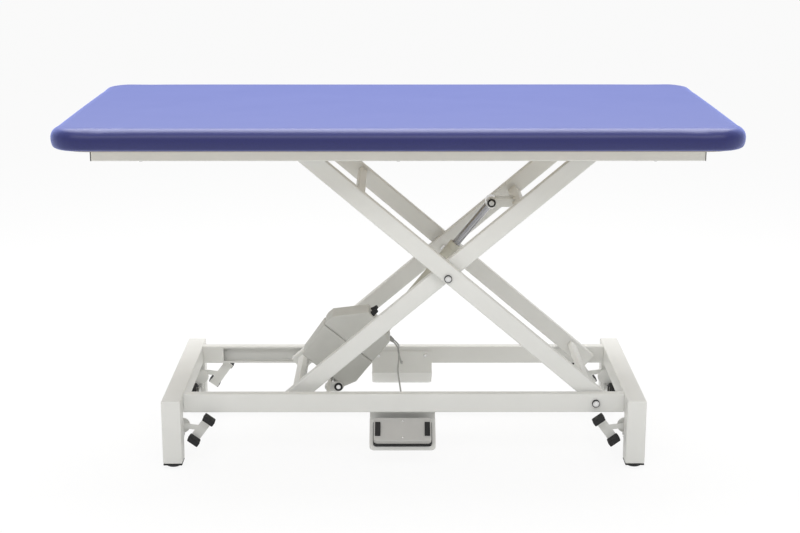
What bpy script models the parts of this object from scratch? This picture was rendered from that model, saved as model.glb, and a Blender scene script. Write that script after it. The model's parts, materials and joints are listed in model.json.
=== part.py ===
"""A wide electric treatment table: a padded top on a scissor of four arms, raised by a linear actuator.

Metres, +Z up. The origin is on the floor under the middle of the pad, +X runs along the pad
and -Y is the side that faces a person standing in front.
"""

import math

import bmesh
import bpy
from mathutils import Matrix, Vector

# Clearance between touching or fitted pieces
GAP = 0.0003

# Pad, its board and the cross bars under it
PAD_LENGTH = 2.000
PAD_WIDTH = 1.000
PAD_THICKNESS = 0.069
PAD_CORNER_RADIUS = 0.090
PAD_EDGE_RADIUS = 0.022
BOARD_INSET = 0.024
BOARD_THICKNESS = 0.016
TOP_BAR_FROM_END = 0.250
TOP_BAR_WIDTH = 0.050
TOP_BAR_THICKNESS = 0.025

# Base frame
BASE_LENGTH = 1.492
BASE_WIDTH = 0.666
BASE_HEIGHT = 0.218
BASE_SHIFT = 0.017
END_TUBE = 0.060
WALL = 0.003
TUBE_ROUNDING = 0.004
FOOT_HEIGHT = 0.014
FOOT_RADIUS = 0.028
FOOT_PLUG_HEIGHT = 0.030

# Rails of the base and of the top, with the slots that the roller axles run in
RAIL_SETBACK = 0.069
RAIL_THICKNESS = 0.030
BASE_RAIL_HEIGHT = 0.060
TOP_RAIL_HEIGHT = 0.040
TOP_RAIL_FROM_END = 0.082
SLOT_SLACK = 0.020
SLOT_MARGIN = 0.004

# Scissor arms
ARM_HALF_LENGTH = 0.606
ARM_REST_ANGLE = math.radians(40.35)
ARM_LOW_ANGLE = math.radians(12.0)
ARM_HEIGHT = 0.055
ARM_ABOVE_PIVOTS = 0.011
ARM_THICKNESS = 0.030
ARM_GAP = 0.003
ARM_LOWER_REACH = 0.035
ARM_UPPER_REACH = 0.010
FIXED_PIVOT_X = 0.615

# Bolts, axles and rollers of the scissor
PIVOT_RADIUS = 0.008
BOLT_HEAD_RADIUS = 0.0115
BOLT_HEAD_HEIGHT = 0.008
BOLT_END = 0.0015
ROLLER_WIDTH = 0.018
ROLLER_SLACK = 0.0005
AXLE_PAST_ROLLER = 0.001

# Cross tubes that tie the arms in pairs, placed along their own arm from its middle or its lower pivot
TIE_WIDTH = 0.026
TIE_TOP = 0.0285
TIE_BOTTOM = 0.010
OUTER_UPPER_TIE = 0.371
OUTER_LOWER_TIE_FROM_PIVOT = 0.049
ACTUATOR_TIE = 0.300
ACTUATOR_TIE_SIZE = 0.030

# Actuator: pins, mount, motor housing, telescopic tube and rod
LOWER_PIN_FROM_ROLLER = 0.114656
LOWER_PIN_Z = 0.172
LOWER_PIN_RADIUS = 0.010
LOWER_PIN_HEAD_RADIUS = 0.0135
LOWER_PIN_HEAD_HEIGHT = 0.004
UPPER_PIN_ALONG = 0.2345
UPPER_PIN_ABOVE = 0.0555
UPPER_STUB_HEIGHT = 0.005
UPPER_EAR_FROM_MIDDLE = 0.020
LOWER_EAR_FROM_HOUSING = 0.0003
EAR_THICKNESS = 0.006
EAR_RADIUS = 0.016
MOUNT_BAR_FROM_PIN = 0.029
MOUNT_BAR_THICKNESS = 0.010
MOUNT_BAR_BOTTOM = 0.158
MOUNT_BAR_TOP = 0.194
HOUSING_DEPTH = 0.100
HOUSING_SEAM = 0.133
HOUSING_LUG_RADIUS = 0.018
HOUSING_ROUNDING = 0.006
BORE_START = 0.055
TUBE_RADIUS = 0.020
TUBE_START = 0.200
TUBE_END = 0.600
ROD_RADIUS = 0.0125
ROD_START = 0.560
ROD_EYE_RADIUS = 0.019

# Foot switches on their brackets
SWITCH_X = 0.013
BRACKET_WIDTH = 0.206
BRACKET_SHEET = 0.003
BRACKET_TOP = 0.202
BRACKET_BEND = 0.1275
TRAY_LENGTH = 0.118
TRAY_TILT = math.radians(35.5)
TRAY_CORNER_RADIUS = 0.014
SWITCH_LENGTH = 0.183
SWITCH_DEPTH = 0.092
SWITCH_FROM_BEND = 0.015
SWITCH_BASE_HEIGHT = 0.012
SWITCH_COVER_HEIGHT = 0.017
SWITCH_COVER_INSET = 0.002
SWITCH_ROUNDING = 0.003
SWITCH_CORNER_RADIUS = 0.010
BUTTON_LENGTH = 0.050
BUTTON_WIDTH = 0.017
BUTTON_FROM_EDGE = 0.006
BUTTON_STANDS_PROUD = 0.005
BUTTON_TRAVEL = 0.004
BUTTON_HEIGHT = 0.012
BUTTON_ROUNDING = 0.001

# Cables of the foot switches
CABLE_RADIUS = 0.0025
CABLE_STEP = 0.013
CABLE_EXIT_ALONG = 0.220
CABLE_EXIT_ASIDE = 0.012
CABLE_STRAIGHT = 0.018
CABLE_ENTRY_Z = 0.165

# Castor lift at each end: a pedal shaft, and two forks that swing down on the legs
SHAFT_HEIGHT = 0.120
SHAFT_RADIUS = 0.007
SHAFT_IN_LEG = 0.010
PEDAL_PLATE = 0.004
PEDAL_FROM_LEG = 0.0025
PEDAL_HUB_RADIUS = 0.013
PEDAL_ARM_HALF = 0.008
PEDAL_STRIP_HALF = 0.015
PEDAL_UPPER = (0.111, 0.023)
PEDAL_LOWER = (0.062, -0.044)
CAP_LENGTH = 0.034
CAP_HEIGHT = 0.013
CAP_DEPTH = 0.038
CAM_INSIDE_LEG = 0.033
CAM_WIDTH = 0.006
CAM_RADIUS = 0.024
CAM_OFFSET = (0.022, -0.012)
TRUNNION_INSIDE_LEG = 0.015
TRUNNION_Z = 0.070
TRUNNION_RADIUS = 0.005
LEG_EAR_INSIDE = 0.0195
LEG_EAR_THICKNESS = 0.005
LEG_EAR_REACH = 0.012
LEG_EAR_HALF_HEIGHT = 0.013
FORK_CHEEK_INSIDE = 0.0145
FORK_CHEEK_THICKNESS = 0.004
FORK_END_RADIUS = 0.011
FORK_AXLE = (0.068, -0.010)
FORK_STRAP = (0.010, 0.024)
FORK_STRAP_HEIGHT = (0.004, 0.008)
AXLE_RADIUS = 0.004
WHEEL_RADIUS = 0.040
WHEEL_WIDTH = 0.026
WHEEL_ROUNDING = 0.006

# The motor housing from the side, along the actuator's axis and up from it
HOUSING_BACK = 0.008
HOUSING_BOTTOM = 0.035
HOUSING_PROFILE = (
    (0.047, -HOUSING_BOTTOM),
    (0.226, -HOUSING_BOTTOM),
    (0.248, 0.047),
    (0.256, 0.082),
    (0.172, 0.163),
    (0.151, 0.167),
    (HOUSING_BACK, 0.158),
)

# Places worked out from the sizes above
rail_outer = BASE_WIDTH / 2 - RAIL_SETBACK
rail_inner = rail_outer - RAIL_THICKNESS
rail_middle = (rail_outer + rail_inner) / 2
outer_arm_outside = rail_inner - ARM_GAP
outer_arm_inside = outer_arm_outside - ARM_THICKNESS
inner_arm_outside = outer_arm_inside - ARM_GAP
inner_arm_inside = inner_arm_outside - ARM_THICKNESS

leg_middle = BASE_LENGTH / 2 - END_TUBE / 2
leg_inner_y = BASE_WIDTH / 2 - END_TUBE
cam_y = leg_inner_y - CAM_INSIDE_LEG
trunnion_y = leg_inner_y - TRUNNION_INSIDE_LEG
base_rail_bottom = BASE_HEIGHT - BASE_RAIL_HEIGHT
lower_pivot_z = BASE_HEIGHT - BASE_RAIL_HEIGHT / 2
upper_pivot_z = lower_pivot_z + 2 * ARM_HALF_LENGTH * math.sin(ARM_REST_ANGLE)
lower_roller_radius = BASE_RAIL_HEIGHT / 2 - WALL - ROLLER_SLACK
upper_roller_radius = TOP_RAIL_HEIGHT / 2 - WALL - ROLLER_SLACK
axle_end = rail_middle + ROLLER_WIDTH / 2 - AXLE_PAST_ROLLER

top_rail_top = upper_pivot_z + TOP_RAIL_HEIGHT / 2
top_bar_bottom = top_rail_top + GAP
board_bottom = top_bar_bottom + TOP_BAR_THICKNESS + GAP
pad_bottom = board_bottom
top_bar_x = PAD_LENGTH / 2 - TOP_BAR_FROM_END
top_rail_reach = PAD_LENGTH / 2 - TOP_RAIL_FROM_END

roller_rest_x = FIXED_PIVOT_X - 2 * ARM_HALF_LENGTH * math.cos(ARM_REST_ANGLE)
lower_pin_x = roller_rest_x + LOWER_PIN_FROM_ROLLER
mount_bar_x = lower_pin_x - MOUNT_BAR_FROM_PIN
roller_low_x = FIXED_PIVOT_X - 2 * ARM_HALF_LENGTH * math.cos(ARM_LOW_ANGLE)
slot_left = roller_low_x - PIVOT_RADIUS - SLOT_SLACK
slot_right = roller_rest_x + PIVOT_RADIUS + SLOT_SLACK

SIDES = ((-1, "front"), (1, "rear"))
ENDS = ((-1, "left"), (1, "right"))
ROUND = 16


def clear_scene():
    for obj in list(bpy.data.objects):
        bpy.data.objects.remove(obj, do_unlink=True)


def new_collection(name):
    collection = bpy.data.collections.new(name)
    bpy.context.scene.collection.children.link(collection)
    return collection


def finish(name, red, green, blue, roughness, metallic=0.0):
    """A plain surface of one colour."""
    material = bpy.data.materials.new(name)
    material.use_nodes = True
    shader = material.node_tree.nodes["Principled BSDF"]
    shader.inputs["Base Color"].default_value = (red, green, blue, 1.0)
    shader.inputs["Roughness"].default_value = roughness
    shader.inputs["Metallic"].default_value = metallic
    return material


clear_scene()
parts = new_collection("bobath_table")
cutters = new_collection("cutters")

PAINT = finish("painted_steel", 0.63, 0.63, 0.60, 0.45)
VINYL = finish("blue_upholstery", 0.14, 0.15, 0.50, 0.42)
BLACK = finish("black_rubber", 0.02, 0.02, 0.02, 0.70)
MOTOR = finish("grey_motor_plastic", 0.39, 0.39, 0.37, 0.55)
SWITCH = finish("grey_switch_plastic", 0.45, 0.45, 0.43, 0.50)
TUBE = finish("actuator_tube_paint", 0.50, 0.49, 0.45, 0.50)
CHROME = finish("chrome", 0.75, 0.75, 0.76, 0.12, 1.0)
ZINC = finish("zinc_plated_steel", 0.62, 0.62, 0.63, 0.35, 1.0)
WOOD = finish("plywood", 0.45, 0.31, 0.18, 0.70)
NYLON = finish("nylon", 0.70, 0.69, 0.64, 0.55)
CABLE = finish("grey_cable", 0.32, 0.32, 0.31, 0.55)


def frame(name, location, rotation=(0.0, 0.0, 0.0), parent=None):
    """An empty on a joint's axis, which carries the pieces that move with it."""
    empty = bpy.data.objects.new(name, None)
    empty.location = location
    empty.rotation_euler = rotation
    empty.parent = parent
    parts.objects.link(empty)
    return empty


def piece(name, shape, material, parent):
    """A named object made from a bmesh, in its parent's own directions."""
    bmesh.ops.recalc_face_normals(shape, faces=shape.faces)
    mesh = bpy.data.meshes.new(name)
    shape.to_mesh(mesh)
    shape.free()
    mesh.materials.append(material)
    mesh.shade_smooth()
    mesh.set_sharp_from_angle(angle=math.radians(40))
    obj = bpy.data.objects.new(name, mesh)
    obj.parent = parent
    parts.objects.link(obj)
    return obj


def round_edges(obj, width, segments=2):
    """Rounds the sharp edges of a piece."""
    bevel = obj.modifiers.new("rounded_edges", "BEVEL")
    bevel.width = width
    bevel.segments = segments
    bevel.limit_method = "ANGLE"
    bevel.angle_limit = math.radians(50)
    return obj


def slab(name, x_range, y_range, z_range, material, parent=None):
    """A block given by its stretch along each axis."""
    low = Vector((x_range[0], y_range[0], z_range[0]))
    high = Vector((x_range[1], y_range[1], z_range[1]))
    shape = bmesh.new()
    bmesh.ops.create_cube(shape, size=1.0)
    bmesh.ops.scale(shape, vec=high - low, verts=shape.verts)
    bmesh.ops.translate(shape, vec=(low + high) / 2, verts=shape.verts)
    return piece(name, shape, material, parent)


def bar(name, start, end, radius, material, parent=None):
    """A round bar from one point to another."""
    start = Vector(start)
    end = Vector(end)
    turn = Vector((0, 0, 1)).rotation_difference(end - start).to_matrix().to_4x4()
    shape = bmesh.new()
    bmesh.ops.create_cone(
        shape,
        cap_ends=True,
        segments=ROUND,
        radius1=radius,
        radius2=radius,
        depth=(end - start).length,
        matrix=Matrix.Translation((start + end) / 2) @ turn,
    )
    return piece(name, shape, material, parent)


TURNS = {
    "X": (0.0, math.pi / 2, 0.0),
    "Y": (-math.pi / 2, 0.0, 0.0),
    "Z": (0.0, 0.0, 0.0),
}


def turned(name, profile, axis, location, material, parent=None, ring=False):
    """A turned piece: its profile is a row of (radius, place along the axis), closed for a ring."""
    if profile[0][1] < profile[-1][1] and not ring:
        profile = profile[::-1]
    shape = bmesh.new()
    points = [shape.verts.new((radius, 0.0, place)) for radius, place in profile]
    for first, second in zip(points, points[1:]):
        shape.edges.new((first, second))
    if ring:
        shape.edges.new((points[-1], points[0]))
    obj = piece(name, shape, material, parent)
    obj.location = location
    obj.rotation_euler = TURNS[axis]
    screw = obj.modifiers.new("turned", "SCREW")
    screw.axis = "Z"
    screw.angle = 2 * math.pi
    screw.steps = ROUND
    screw.render_steps = ROUND
    screw.use_merge_vertices = True
    screw.merge_threshold = 1e-5
    screw.use_smooth_shade = False
    return obj


def sleeve(name, inside, outside, low, high, axis, location, material, parent=None):
    """A turned ring between two radii and two places along its axis."""
    profile = [(outside, high), (outside, low), (inside, low), (inside, high)]
    return turned(name, profile, axis, location, material, parent, ring=True)


# How an outline's two directions lie in space, and the axis that its thickness follows
PLANES = {
    "XZ": (Matrix(((1, 0, 0), (0, 0, -1), (0, 1, 0))).to_4x4(), Vector((0, 1, 0))),
    "YZ": (Matrix(((0, 0, 1), (1, 0, 0), (0, 1, 0))).to_4x4(), Vector((1, 0, 0))),
    "XY": (Matrix.Identity(4), Vector((0, 0, 1))),
}


def plate(name, outlines, low, high, plane, material, parent=None):
    """Flat outlines, the first one's inside less the others', thick from low to high across their plane."""
    curve = bpy.data.curves.new(name, "CURVE")
    curve.dimensions = "2D"
    curve.fill_mode = "BOTH"
    curve.extrude = (high - low) / 2
    for outline in outlines:
        spline = curve.splines.new("POLY")
        spline.points.add(len(outline) - 1)
        for point, (across, up) in zip(spline.points, outline):
            point.co = (across, up, 0.0, 1.0)
        spline.use_cyclic_u = True
    guide = bpy.data.objects.new(name, curve)
    parts.objects.link(guide)
    graph = bpy.context.evaluated_depsgraph_get()
    flat = bpy.data.meshes.new_from_object(guide.evaluated_get(graph))
    bpy.data.objects.remove(guide, do_unlink=True)
    shape = bmesh.new()
    shape.from_mesh(flat)
    bpy.data.meshes.remove(flat)
    bmesh.ops.remove_doubles(shape, verts=shape.verts, dist=1e-6)
    if len(outlines) == 1:
        bmesh.ops.dissolve_limit(
            shape, angle_limit=math.radians(1), verts=shape.verts, edges=shape.edges
        )
    turn, along = PLANES[plane]
    shape.transform(Matrix.Translation(along * (low + high) / 2) @ turn)
    return piece(name, shape, material, parent)


def arc(centre, radius, start, end, steps):
    """Points on a round stretch of an outline, between two angles in degrees."""
    points = []
    for step in range(steps + 1):
        angle = math.radians(start + (end - start) * step / steps)
        points.append((centre[0] + radius * math.cos(angle), centre[1] + radius * math.sin(angle)))
    return points


def rounded_rectangle(low, high, radius, steps=3):
    left, bottom = low
    right, top = high
    outline = arc((right - radius, top - radius), radius, 0, 90, steps)
    outline += arc((left + radius, top - radius), radius, 90, 180, steps)
    outline += arc((left + radius, bottom + radius), radius, 180, 270, steps)
    outline += arc((right - radius, bottom + radius), radius, 270, 360, steps)
    return outline


def capsule(first, second, radius, steps=6):
    """An outline round two points, at one distance from the line between them."""
    heading = math.degrees(math.atan2(second[1] - first[1], second[0] - first[0]))
    outline = arc(second, radius, heading - 90, heading + 90, steps)
    return outline + arc(first, radius, heading + 90, heading + 270, steps)


def square_tube(name, y_range, z_range, low, high, material, parent=None):
    """A hollow tube along X."""
    outside = rounded_rectangle((y_range[0], z_range[0]), (y_range[1], z_range[1]), TUBE_ROUNDING)
    inside = rounded_rectangle(
        (y_range[0] + WALL, z_range[0] + WALL),
        (y_range[1] - WALL, z_range[1] - WALL),
        TUBE_ROUNDING - WALL,
        1,
    )
    return plate(name, [outside, inside], low, high, "YZ", material, parent)


def hidden(tool):
    """Takes a tool out of the assembly, so that only its effect is left."""
    parts.objects.unlink(tool)
    cutters.objects.link(tool)
    tool.hide_render = True
    tool.display_type = "WIRE"


def combine(target, tools, operation):
    for tool in tools:
        change = target.modifiers.new(tool.name, "BOOLEAN")
        change.operation = operation
        change.object = tool
        change.solver = "EXACT"
        hidden(tool)
    return target


def cut(target, *tools):
    return combine(target, tools, "DIFFERENCE")


def unite(target, *tools):
    return combine(target, tools, "UNION")


def span(side, near, far):
    """The lower and upper value of a stretch on one side of the middle, from its two distances."""
    return tuple(sorted((side * near, side * far)))


def leg_x(end):
    """The middle of the legs at one end."""
    return BASE_SHIFT + end * leg_middle


def inverted_u(inset, bottom):
    """The end frame seen along X, drawn in by an inset on every side but its open bottom."""
    outside = BASE_WIDTH / 2 - inset
    inside = leg_inner_y + inset
    top = BASE_HEIGHT - inset
    under = BASE_HEIGHT - END_TUBE + inset
    return [
        (-outside, bottom),
        (-inside, bottom),
        (-inside, under),
        (inside, under),
        (inside, bottom),
        (outside, bottom),
        (outside, top),
        (-outside, top),
    ]


def build_end_frame(end, name):
    """An inverted U of square tube with a foot under each leg, and ears that the castor forks hang in."""
    middle = leg_x(end)
    half = END_TUBE / 2
    body = plate(
        f"{name}_end_frame", [inverted_u(0.0, FOOT_HEIGHT)], middle - half, middle + half, "YZ", PAINT
    )
    round_edges(body, TUBE_ROUNDING)
    hollow = plate(
        f"{name}_end_hollow", [inverted_u(WALL, 0.0)], middle - half + WALL, middle + half - WALL, "YZ", PAINT
    )
    cut(body, hollow)
    for side, word in SIDES:
        for hand, hand_word in ENDS:
            ear_x = span(hand, LEG_EAR_INSIDE, LEG_EAR_INSIDE + LEG_EAR_THICKNESS)
            ear = slab(
                f"{name}_{word}_{hand_word}_leg_ear",
                (middle + ear_x[0], middle + ear_x[1]),
                span(side, trunnion_y - LEG_EAR_REACH, leg_inner_y + WALL / 2),
                (TRUNNION_Z - LEG_EAR_HALF_HEIGHT, TRUNNION_Z + LEG_EAR_HALF_HEIGHT),
                PAINT,
            )
            unite(body, ear)
        trunnion_bore = bar(
            f"{name}_{word}_trunnion_bore",
            (middle - half, side * trunnion_y, TRUNNION_Z),
            (middle + half, side * trunnion_y, TRUNNION_Z),
            TRUNNION_RADIUS + GAP,
            PAINT,
        )
        shaft_bore = bar(
            f"{name}_{word}_shaft_bore",
            (middle, side * (leg_inner_y - SHAFT_IN_LEG), SHAFT_HEIGHT),
            (middle, side * (leg_inner_y + 2 * SHAFT_IN_LEG), SHAFT_HEIGHT),
            SHAFT_RADIUS + GAP,
            PAINT,
        )
        cut(body, trunnion_bore, shaft_bore)
        plug = END_TUBE / 2 - WALL - GAP
        foot = [
            (0.0, FOOT_HEIGHT + FOOT_PLUG_HEIGHT),
            (plug, FOOT_HEIGHT + FOOT_PLUG_HEIGHT),
            (plug, FOOT_HEIGHT - GAP),
            (FOOT_RADIUS, FOOT_HEIGHT - GAP),
            (FOOT_RADIUS, FOOT_HEIGHT / 4),
            (FOOT_RADIUS - FOOT_HEIGHT / 4, 0.0),
            (0.0, 0.0),
        ]
        leg_y = side * (leg_inner_y + END_TUBE / 2)
        turned(f"{word}_{name}_foot", foot, "Z", (middle, leg_y, 0.0), BLACK)


def slot_cutter(name, side, pivot_z, height, parent=None, shift_x=0.0):
    """The tool for the slot in a rail's inner wall, where a roller axle passes."""
    return slab(
        name,
        (slot_left - shift_x, slot_right - shift_x),
        span(side, rail_inner - WALL, rail_inner + 2 * WALL),
        (pivot_z - height / 2 + WALL + SLOT_MARGIN, pivot_z + height / 2 - WALL - SLOT_MARGIN),
        PAINT,
        parent,
    )


def pivot_bolt(name, side, head, tail, location, parent=None):
    """A bolt along Y, with its head on the outside of the table."""
    profile = [
        (0.0, side * (head + BOLT_HEAD_HEIGHT)),
        (BOLT_HEAD_RADIUS, side * (head + BOLT_HEAD_HEIGHT)),
        (BOLT_HEAD_RADIUS, side * head),
        (PIVOT_RADIUS, side * head),
        (PIVOT_RADIUS, side * tail),
        (0.0, side * tail),
    ]
    turned(name, profile, "Y", location, ZINC, parent)


def build_base_rail(side, name):
    """A rail between the end frames, with a slot for the roller axle, and the bolt of the fixed pivot."""
    reach = BASE_LENGTH / 2 - END_TUBE - GAP
    rail = square_tube(
        f"{name}_base_rail",
        span(side, rail_inner, rail_outer),
        (base_rail_bottom, BASE_HEIGHT),
        BASE_SHIFT - reach,
        BASE_SHIFT + reach,
        PAINT,
    )
    bore = bar(
        f"{name}_pivot_bore",
        (FIXED_PIVOT_X, side * (rail_inner - WALL), lower_pivot_z),
        (FIXED_PIVOT_X, side * (rail_outer + WALL), lower_pivot_z),
        PIVOT_RADIUS + GAP,
        PAINT,
    )
    cut(rail, slot_cutter(f"{name}_base_slot", side, lower_pivot_z, BASE_RAIL_HEIGHT), bore)
    pivot_bolt(
        f"{name}_lower_pivot_bolt",
        side,
        rail_outer + GAP,
        outer_arm_inside - BOLT_END,
        (FIXED_PIVOT_X, 0.0, lower_pivot_z),
    )


def build_actuator_mount():
    """A flat bar on edge between the base rails, with two ears and the pin of the actuator's lower end."""
    reach = rail_inner - GAP
    half = MOUNT_BAR_THICKNESS / 2
    mount = slab(
        "actuator_mount_bar",
        (mount_bar_x - half, mount_bar_x + half),
        (-reach, reach),
        (MOUNT_BAR_BOTTOM, MOUNT_BAR_TOP),
        PAINT,
    )
    near = HOUSING_DEPTH / 2 + LOWER_EAR_FROM_HOUSING
    far = near + EAR_THICKNESS
    outline = capsule((mount_bar_x, LOWER_PIN_Z), (lower_pin_x, LOWER_PIN_Z), EAR_RADIUS)
    for side, name in SIDES:
        low, high = span(side, near, far)
        unite(mount, plate(f"{name}_mount_ear", [outline], low, high, "XZ", PAINT))
    bore = bar(
        "mount_pin_bore",
        (lower_pin_x, -2 * far, LOWER_PIN_Z),
        (lower_pin_x, 2 * far, LOWER_PIN_Z),
        LOWER_PIN_RADIUS + GAP,
        PAINT,
    )
    cut(mount, bore)
    head = far + GAP
    pin = [
        (0.0, head + LOWER_PIN_HEAD_HEIGHT),
        (LOWER_PIN_HEAD_RADIUS, head + LOWER_PIN_HEAD_HEIGHT),
        (LOWER_PIN_HEAD_RADIUS, head),
        (LOWER_PIN_RADIUS, head),
        (LOWER_PIN_RADIUS, -head),
        (LOWER_PIN_HEAD_RADIUS, -head),
        (LOWER_PIN_HEAD_RADIUS, -head - LOWER_PIN_HEAD_HEIGHT),
        (0.0, -head - LOWER_PIN_HEAD_HEIGHT),
    ]
    turned("actuator_lower_pin", pin, "Y", (lower_pin_x, 0.0, LOWER_PIN_Z), ZINC)


def build_switch(side, name):
    """A foot switch on a bent bracket under the rail, with its two buttons."""
    sheet_out = rail_inner - GAP
    sheet_in = sheet_out - BRACKET_SHEET
    half = BRACKET_WIDTH / 2
    bend = frame(
        f"{name}_switch_bend",
        (SWITCH_X, side * (sheet_in + sheet_out) / 2, BRACKET_BEND),
        (-TRAY_TILT, 0.0, 0.0 if side > 0 else math.pi),
    )
    corner = half - TRAY_CORNER_RADIUS
    far = TRAY_LENGTH - TRAY_CORNER_RADIUS
    tray = [(-half, 0.0), (half, 0.0)]
    tray += arc((corner, far), TRAY_CORNER_RADIUS, 0, 90, 4)
    tray += arc((-corner, far), TRAY_CORNER_RADIUS, 90, 180, 4)
    bracket = plate(f"{name}_switch_bracket", [tray], -BRACKET_SHEET, 0.0, "XY", PAINT, bend)
    flange_half = half - BRACKET_SHEET / 3
    flange = slab(
        f"{name}_bracket_flange",
        (SWITCH_X - flange_half, SWITCH_X + flange_half),
        span(side, sheet_in, sheet_out),
        (BRACKET_BEND - 2 * BRACKET_SHEET / 3, BRACKET_TOP),
        PAINT,
    )
    unite(bracket, flange)

    back = SWITCH_FROM_BEND
    front = back + SWITCH_DEPTH
    length = SWITCH_LENGTH / 2
    base_outline = rounded_rectangle((-length, back), (length, front), SWITCH_CORNER_RADIUS)
    switch_base = plate(
        f"{name}_switch_base", [base_outline], GAP, SWITCH_BASE_HEIGHT, "XY", BLACK, bend
    )
    round_edges(switch_base, SWITCH_COVER_INSET)
    inset = SWITCH_COVER_INSET
    top = SWITCH_BASE_HEIGHT + SWITCH_COVER_HEIGHT
    cover_outline = rounded_rectangle(
        (inset - length, back + inset), (length - inset, front - inset), SWITCH_CORNER_RADIUS
    )
    cover = plate(
        f"{name}_switch_cover", [cover_outline], SWITCH_BASE_HEIGHT + GAP, top, "XY", SWITCH, bend
    )
    round_edges(cover, SWITCH_ROUNDING)
    middle = (back + front) / 2
    button_top = top + BUTTON_STANDS_PROUD
    button_bottom = button_top - BUTTON_HEIGHT
    half_button = BUTTON_LENGTH / 2
    for hand in (-1, 1):
        word = "right" if hand * side > 0 else "left"
        low, high = span(hand, length - BUTTON_FROM_EDGE - BUTTON_WIDTH, length - BUTTON_FROM_EDGE)
        well = slab(
            f"{name}_{word}_button_well",
            (low, high),
            (middle - half_button, middle + half_button),
            (button_bottom - BUTTON_TRAVEL - GAP, button_top + BUTTON_HEIGHT),
            SWITCH,
            bend,
        )
        cut(cover, well)
        button = slab(
            f"{name}_switch_button_{word}",
            (low + GAP, high - GAP),
            (middle - half_button + GAP, middle + half_button - GAP),
            (button_bottom, button_top),
            BLACK,
            bend,
        )
        round_edges(button, BUTTON_ROUNDING)


def smooth_route(points, step):
    """Points at an even step on a smooth curve through a cord's own points."""
    points = [Vector(point) for point in points]
    gaps = [(second - first).length for first, second in zip(points, points[1:])]
    slopes = [(second - first).normalized() for first, second in zip(points, points[1:])]
    headings = [slopes[0]]
    for index in range(1, len(slopes)):
        before = slopes[index - 1] * gaps[index]
        after = slopes[index] * gaps[index - 1]
        headings.append((before + after) / (gaps[index - 1] + gaps[index]))
    headings.append(slopes[-1])
    fine = []
    for index, gap in enumerate(gaps):
        for count in range(12):
            t = count / 12
            start = points[index] * (2 * t**3 - 3 * t**2 + 1)
            end = points[index + 1] * (3 * t**2 - 2 * t**3)
            leaving = headings[index] * gap * (t**3 - 2 * t**2 + t)
            arriving = headings[index + 1] * gap * (t**3 - t**2)
            fine.append(start + end + leaving + arriving)
    fine.append(points[-1])
    total = sum((second - first).length for first, second in zip(fine, fine[1:]))
    count = max(2, round(total / step))
    wanted = [total * index / count for index in range(1, count)]
    route = [fine[0]]
    walked = 0.0
    for first, second in zip(fine, fine[1:]):
        length = (second - first).length
        while wanted and walked + length >= wanted[0]:
            route.append(first.lerp(second, (wanted.pop(0) - walked) / length))
        walked += length
    return route + [fine[-1]]


def build_cable(side, name, actuator):
    """The switch's cable, from under the motor cover to the flange of the switch's bracket."""
    bpy.context.view_layer.update()
    underside = -HOUSING_BOTTOM - GAP
    aside = side * CABLE_EXIT_ASIDE
    start = actuator.matrix_world @ Vector((CABLE_EXIT_ALONG, aside, underside))
    leaving = actuator.matrix_world @ Vector((CABLE_EXIT_ALONG, aside, underside - CABLE_STRAIGHT))
    flange = side * (rail_inner - BRACKET_SHEET - 3 * GAP)
    end = Vector((SWITCH_X, flange, CABLE_ENTRY_Z))
    ahead = Vector((SWITCH_X, flange - side * CABLE_STRAIGHT, CABLE_ENTRY_Z))
    drop = leaving.z - CABLE_ENTRY_Z
    sag = Vector(((leaving.x + SWITCH_X) / 2, side * rail_inner / 2, CABLE_ENTRY_Z + drop / 2))
    points = smooth_route([start, leaving, sag, ahead, end], CABLE_STEP)
    curve = bpy.data.curves.new(f"{name}_switch_cable", "CURVE")
    curve.dimensions = "3D"
    curve.bevel_depth = CABLE_RADIUS
    curve.bevel_resolution = 2
    curve.use_fill_caps = True
    spline = curve.splines.new("POLY")
    spline.points.add(len(points) - 1)
    for point, place in zip(spline.points, points):
        point.co = (*place, 1.0)
    curve.materials.append(CABLE)
    parts.objects.link(bpy.data.objects.new(f"{name}_switch_cable", curve))


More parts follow.
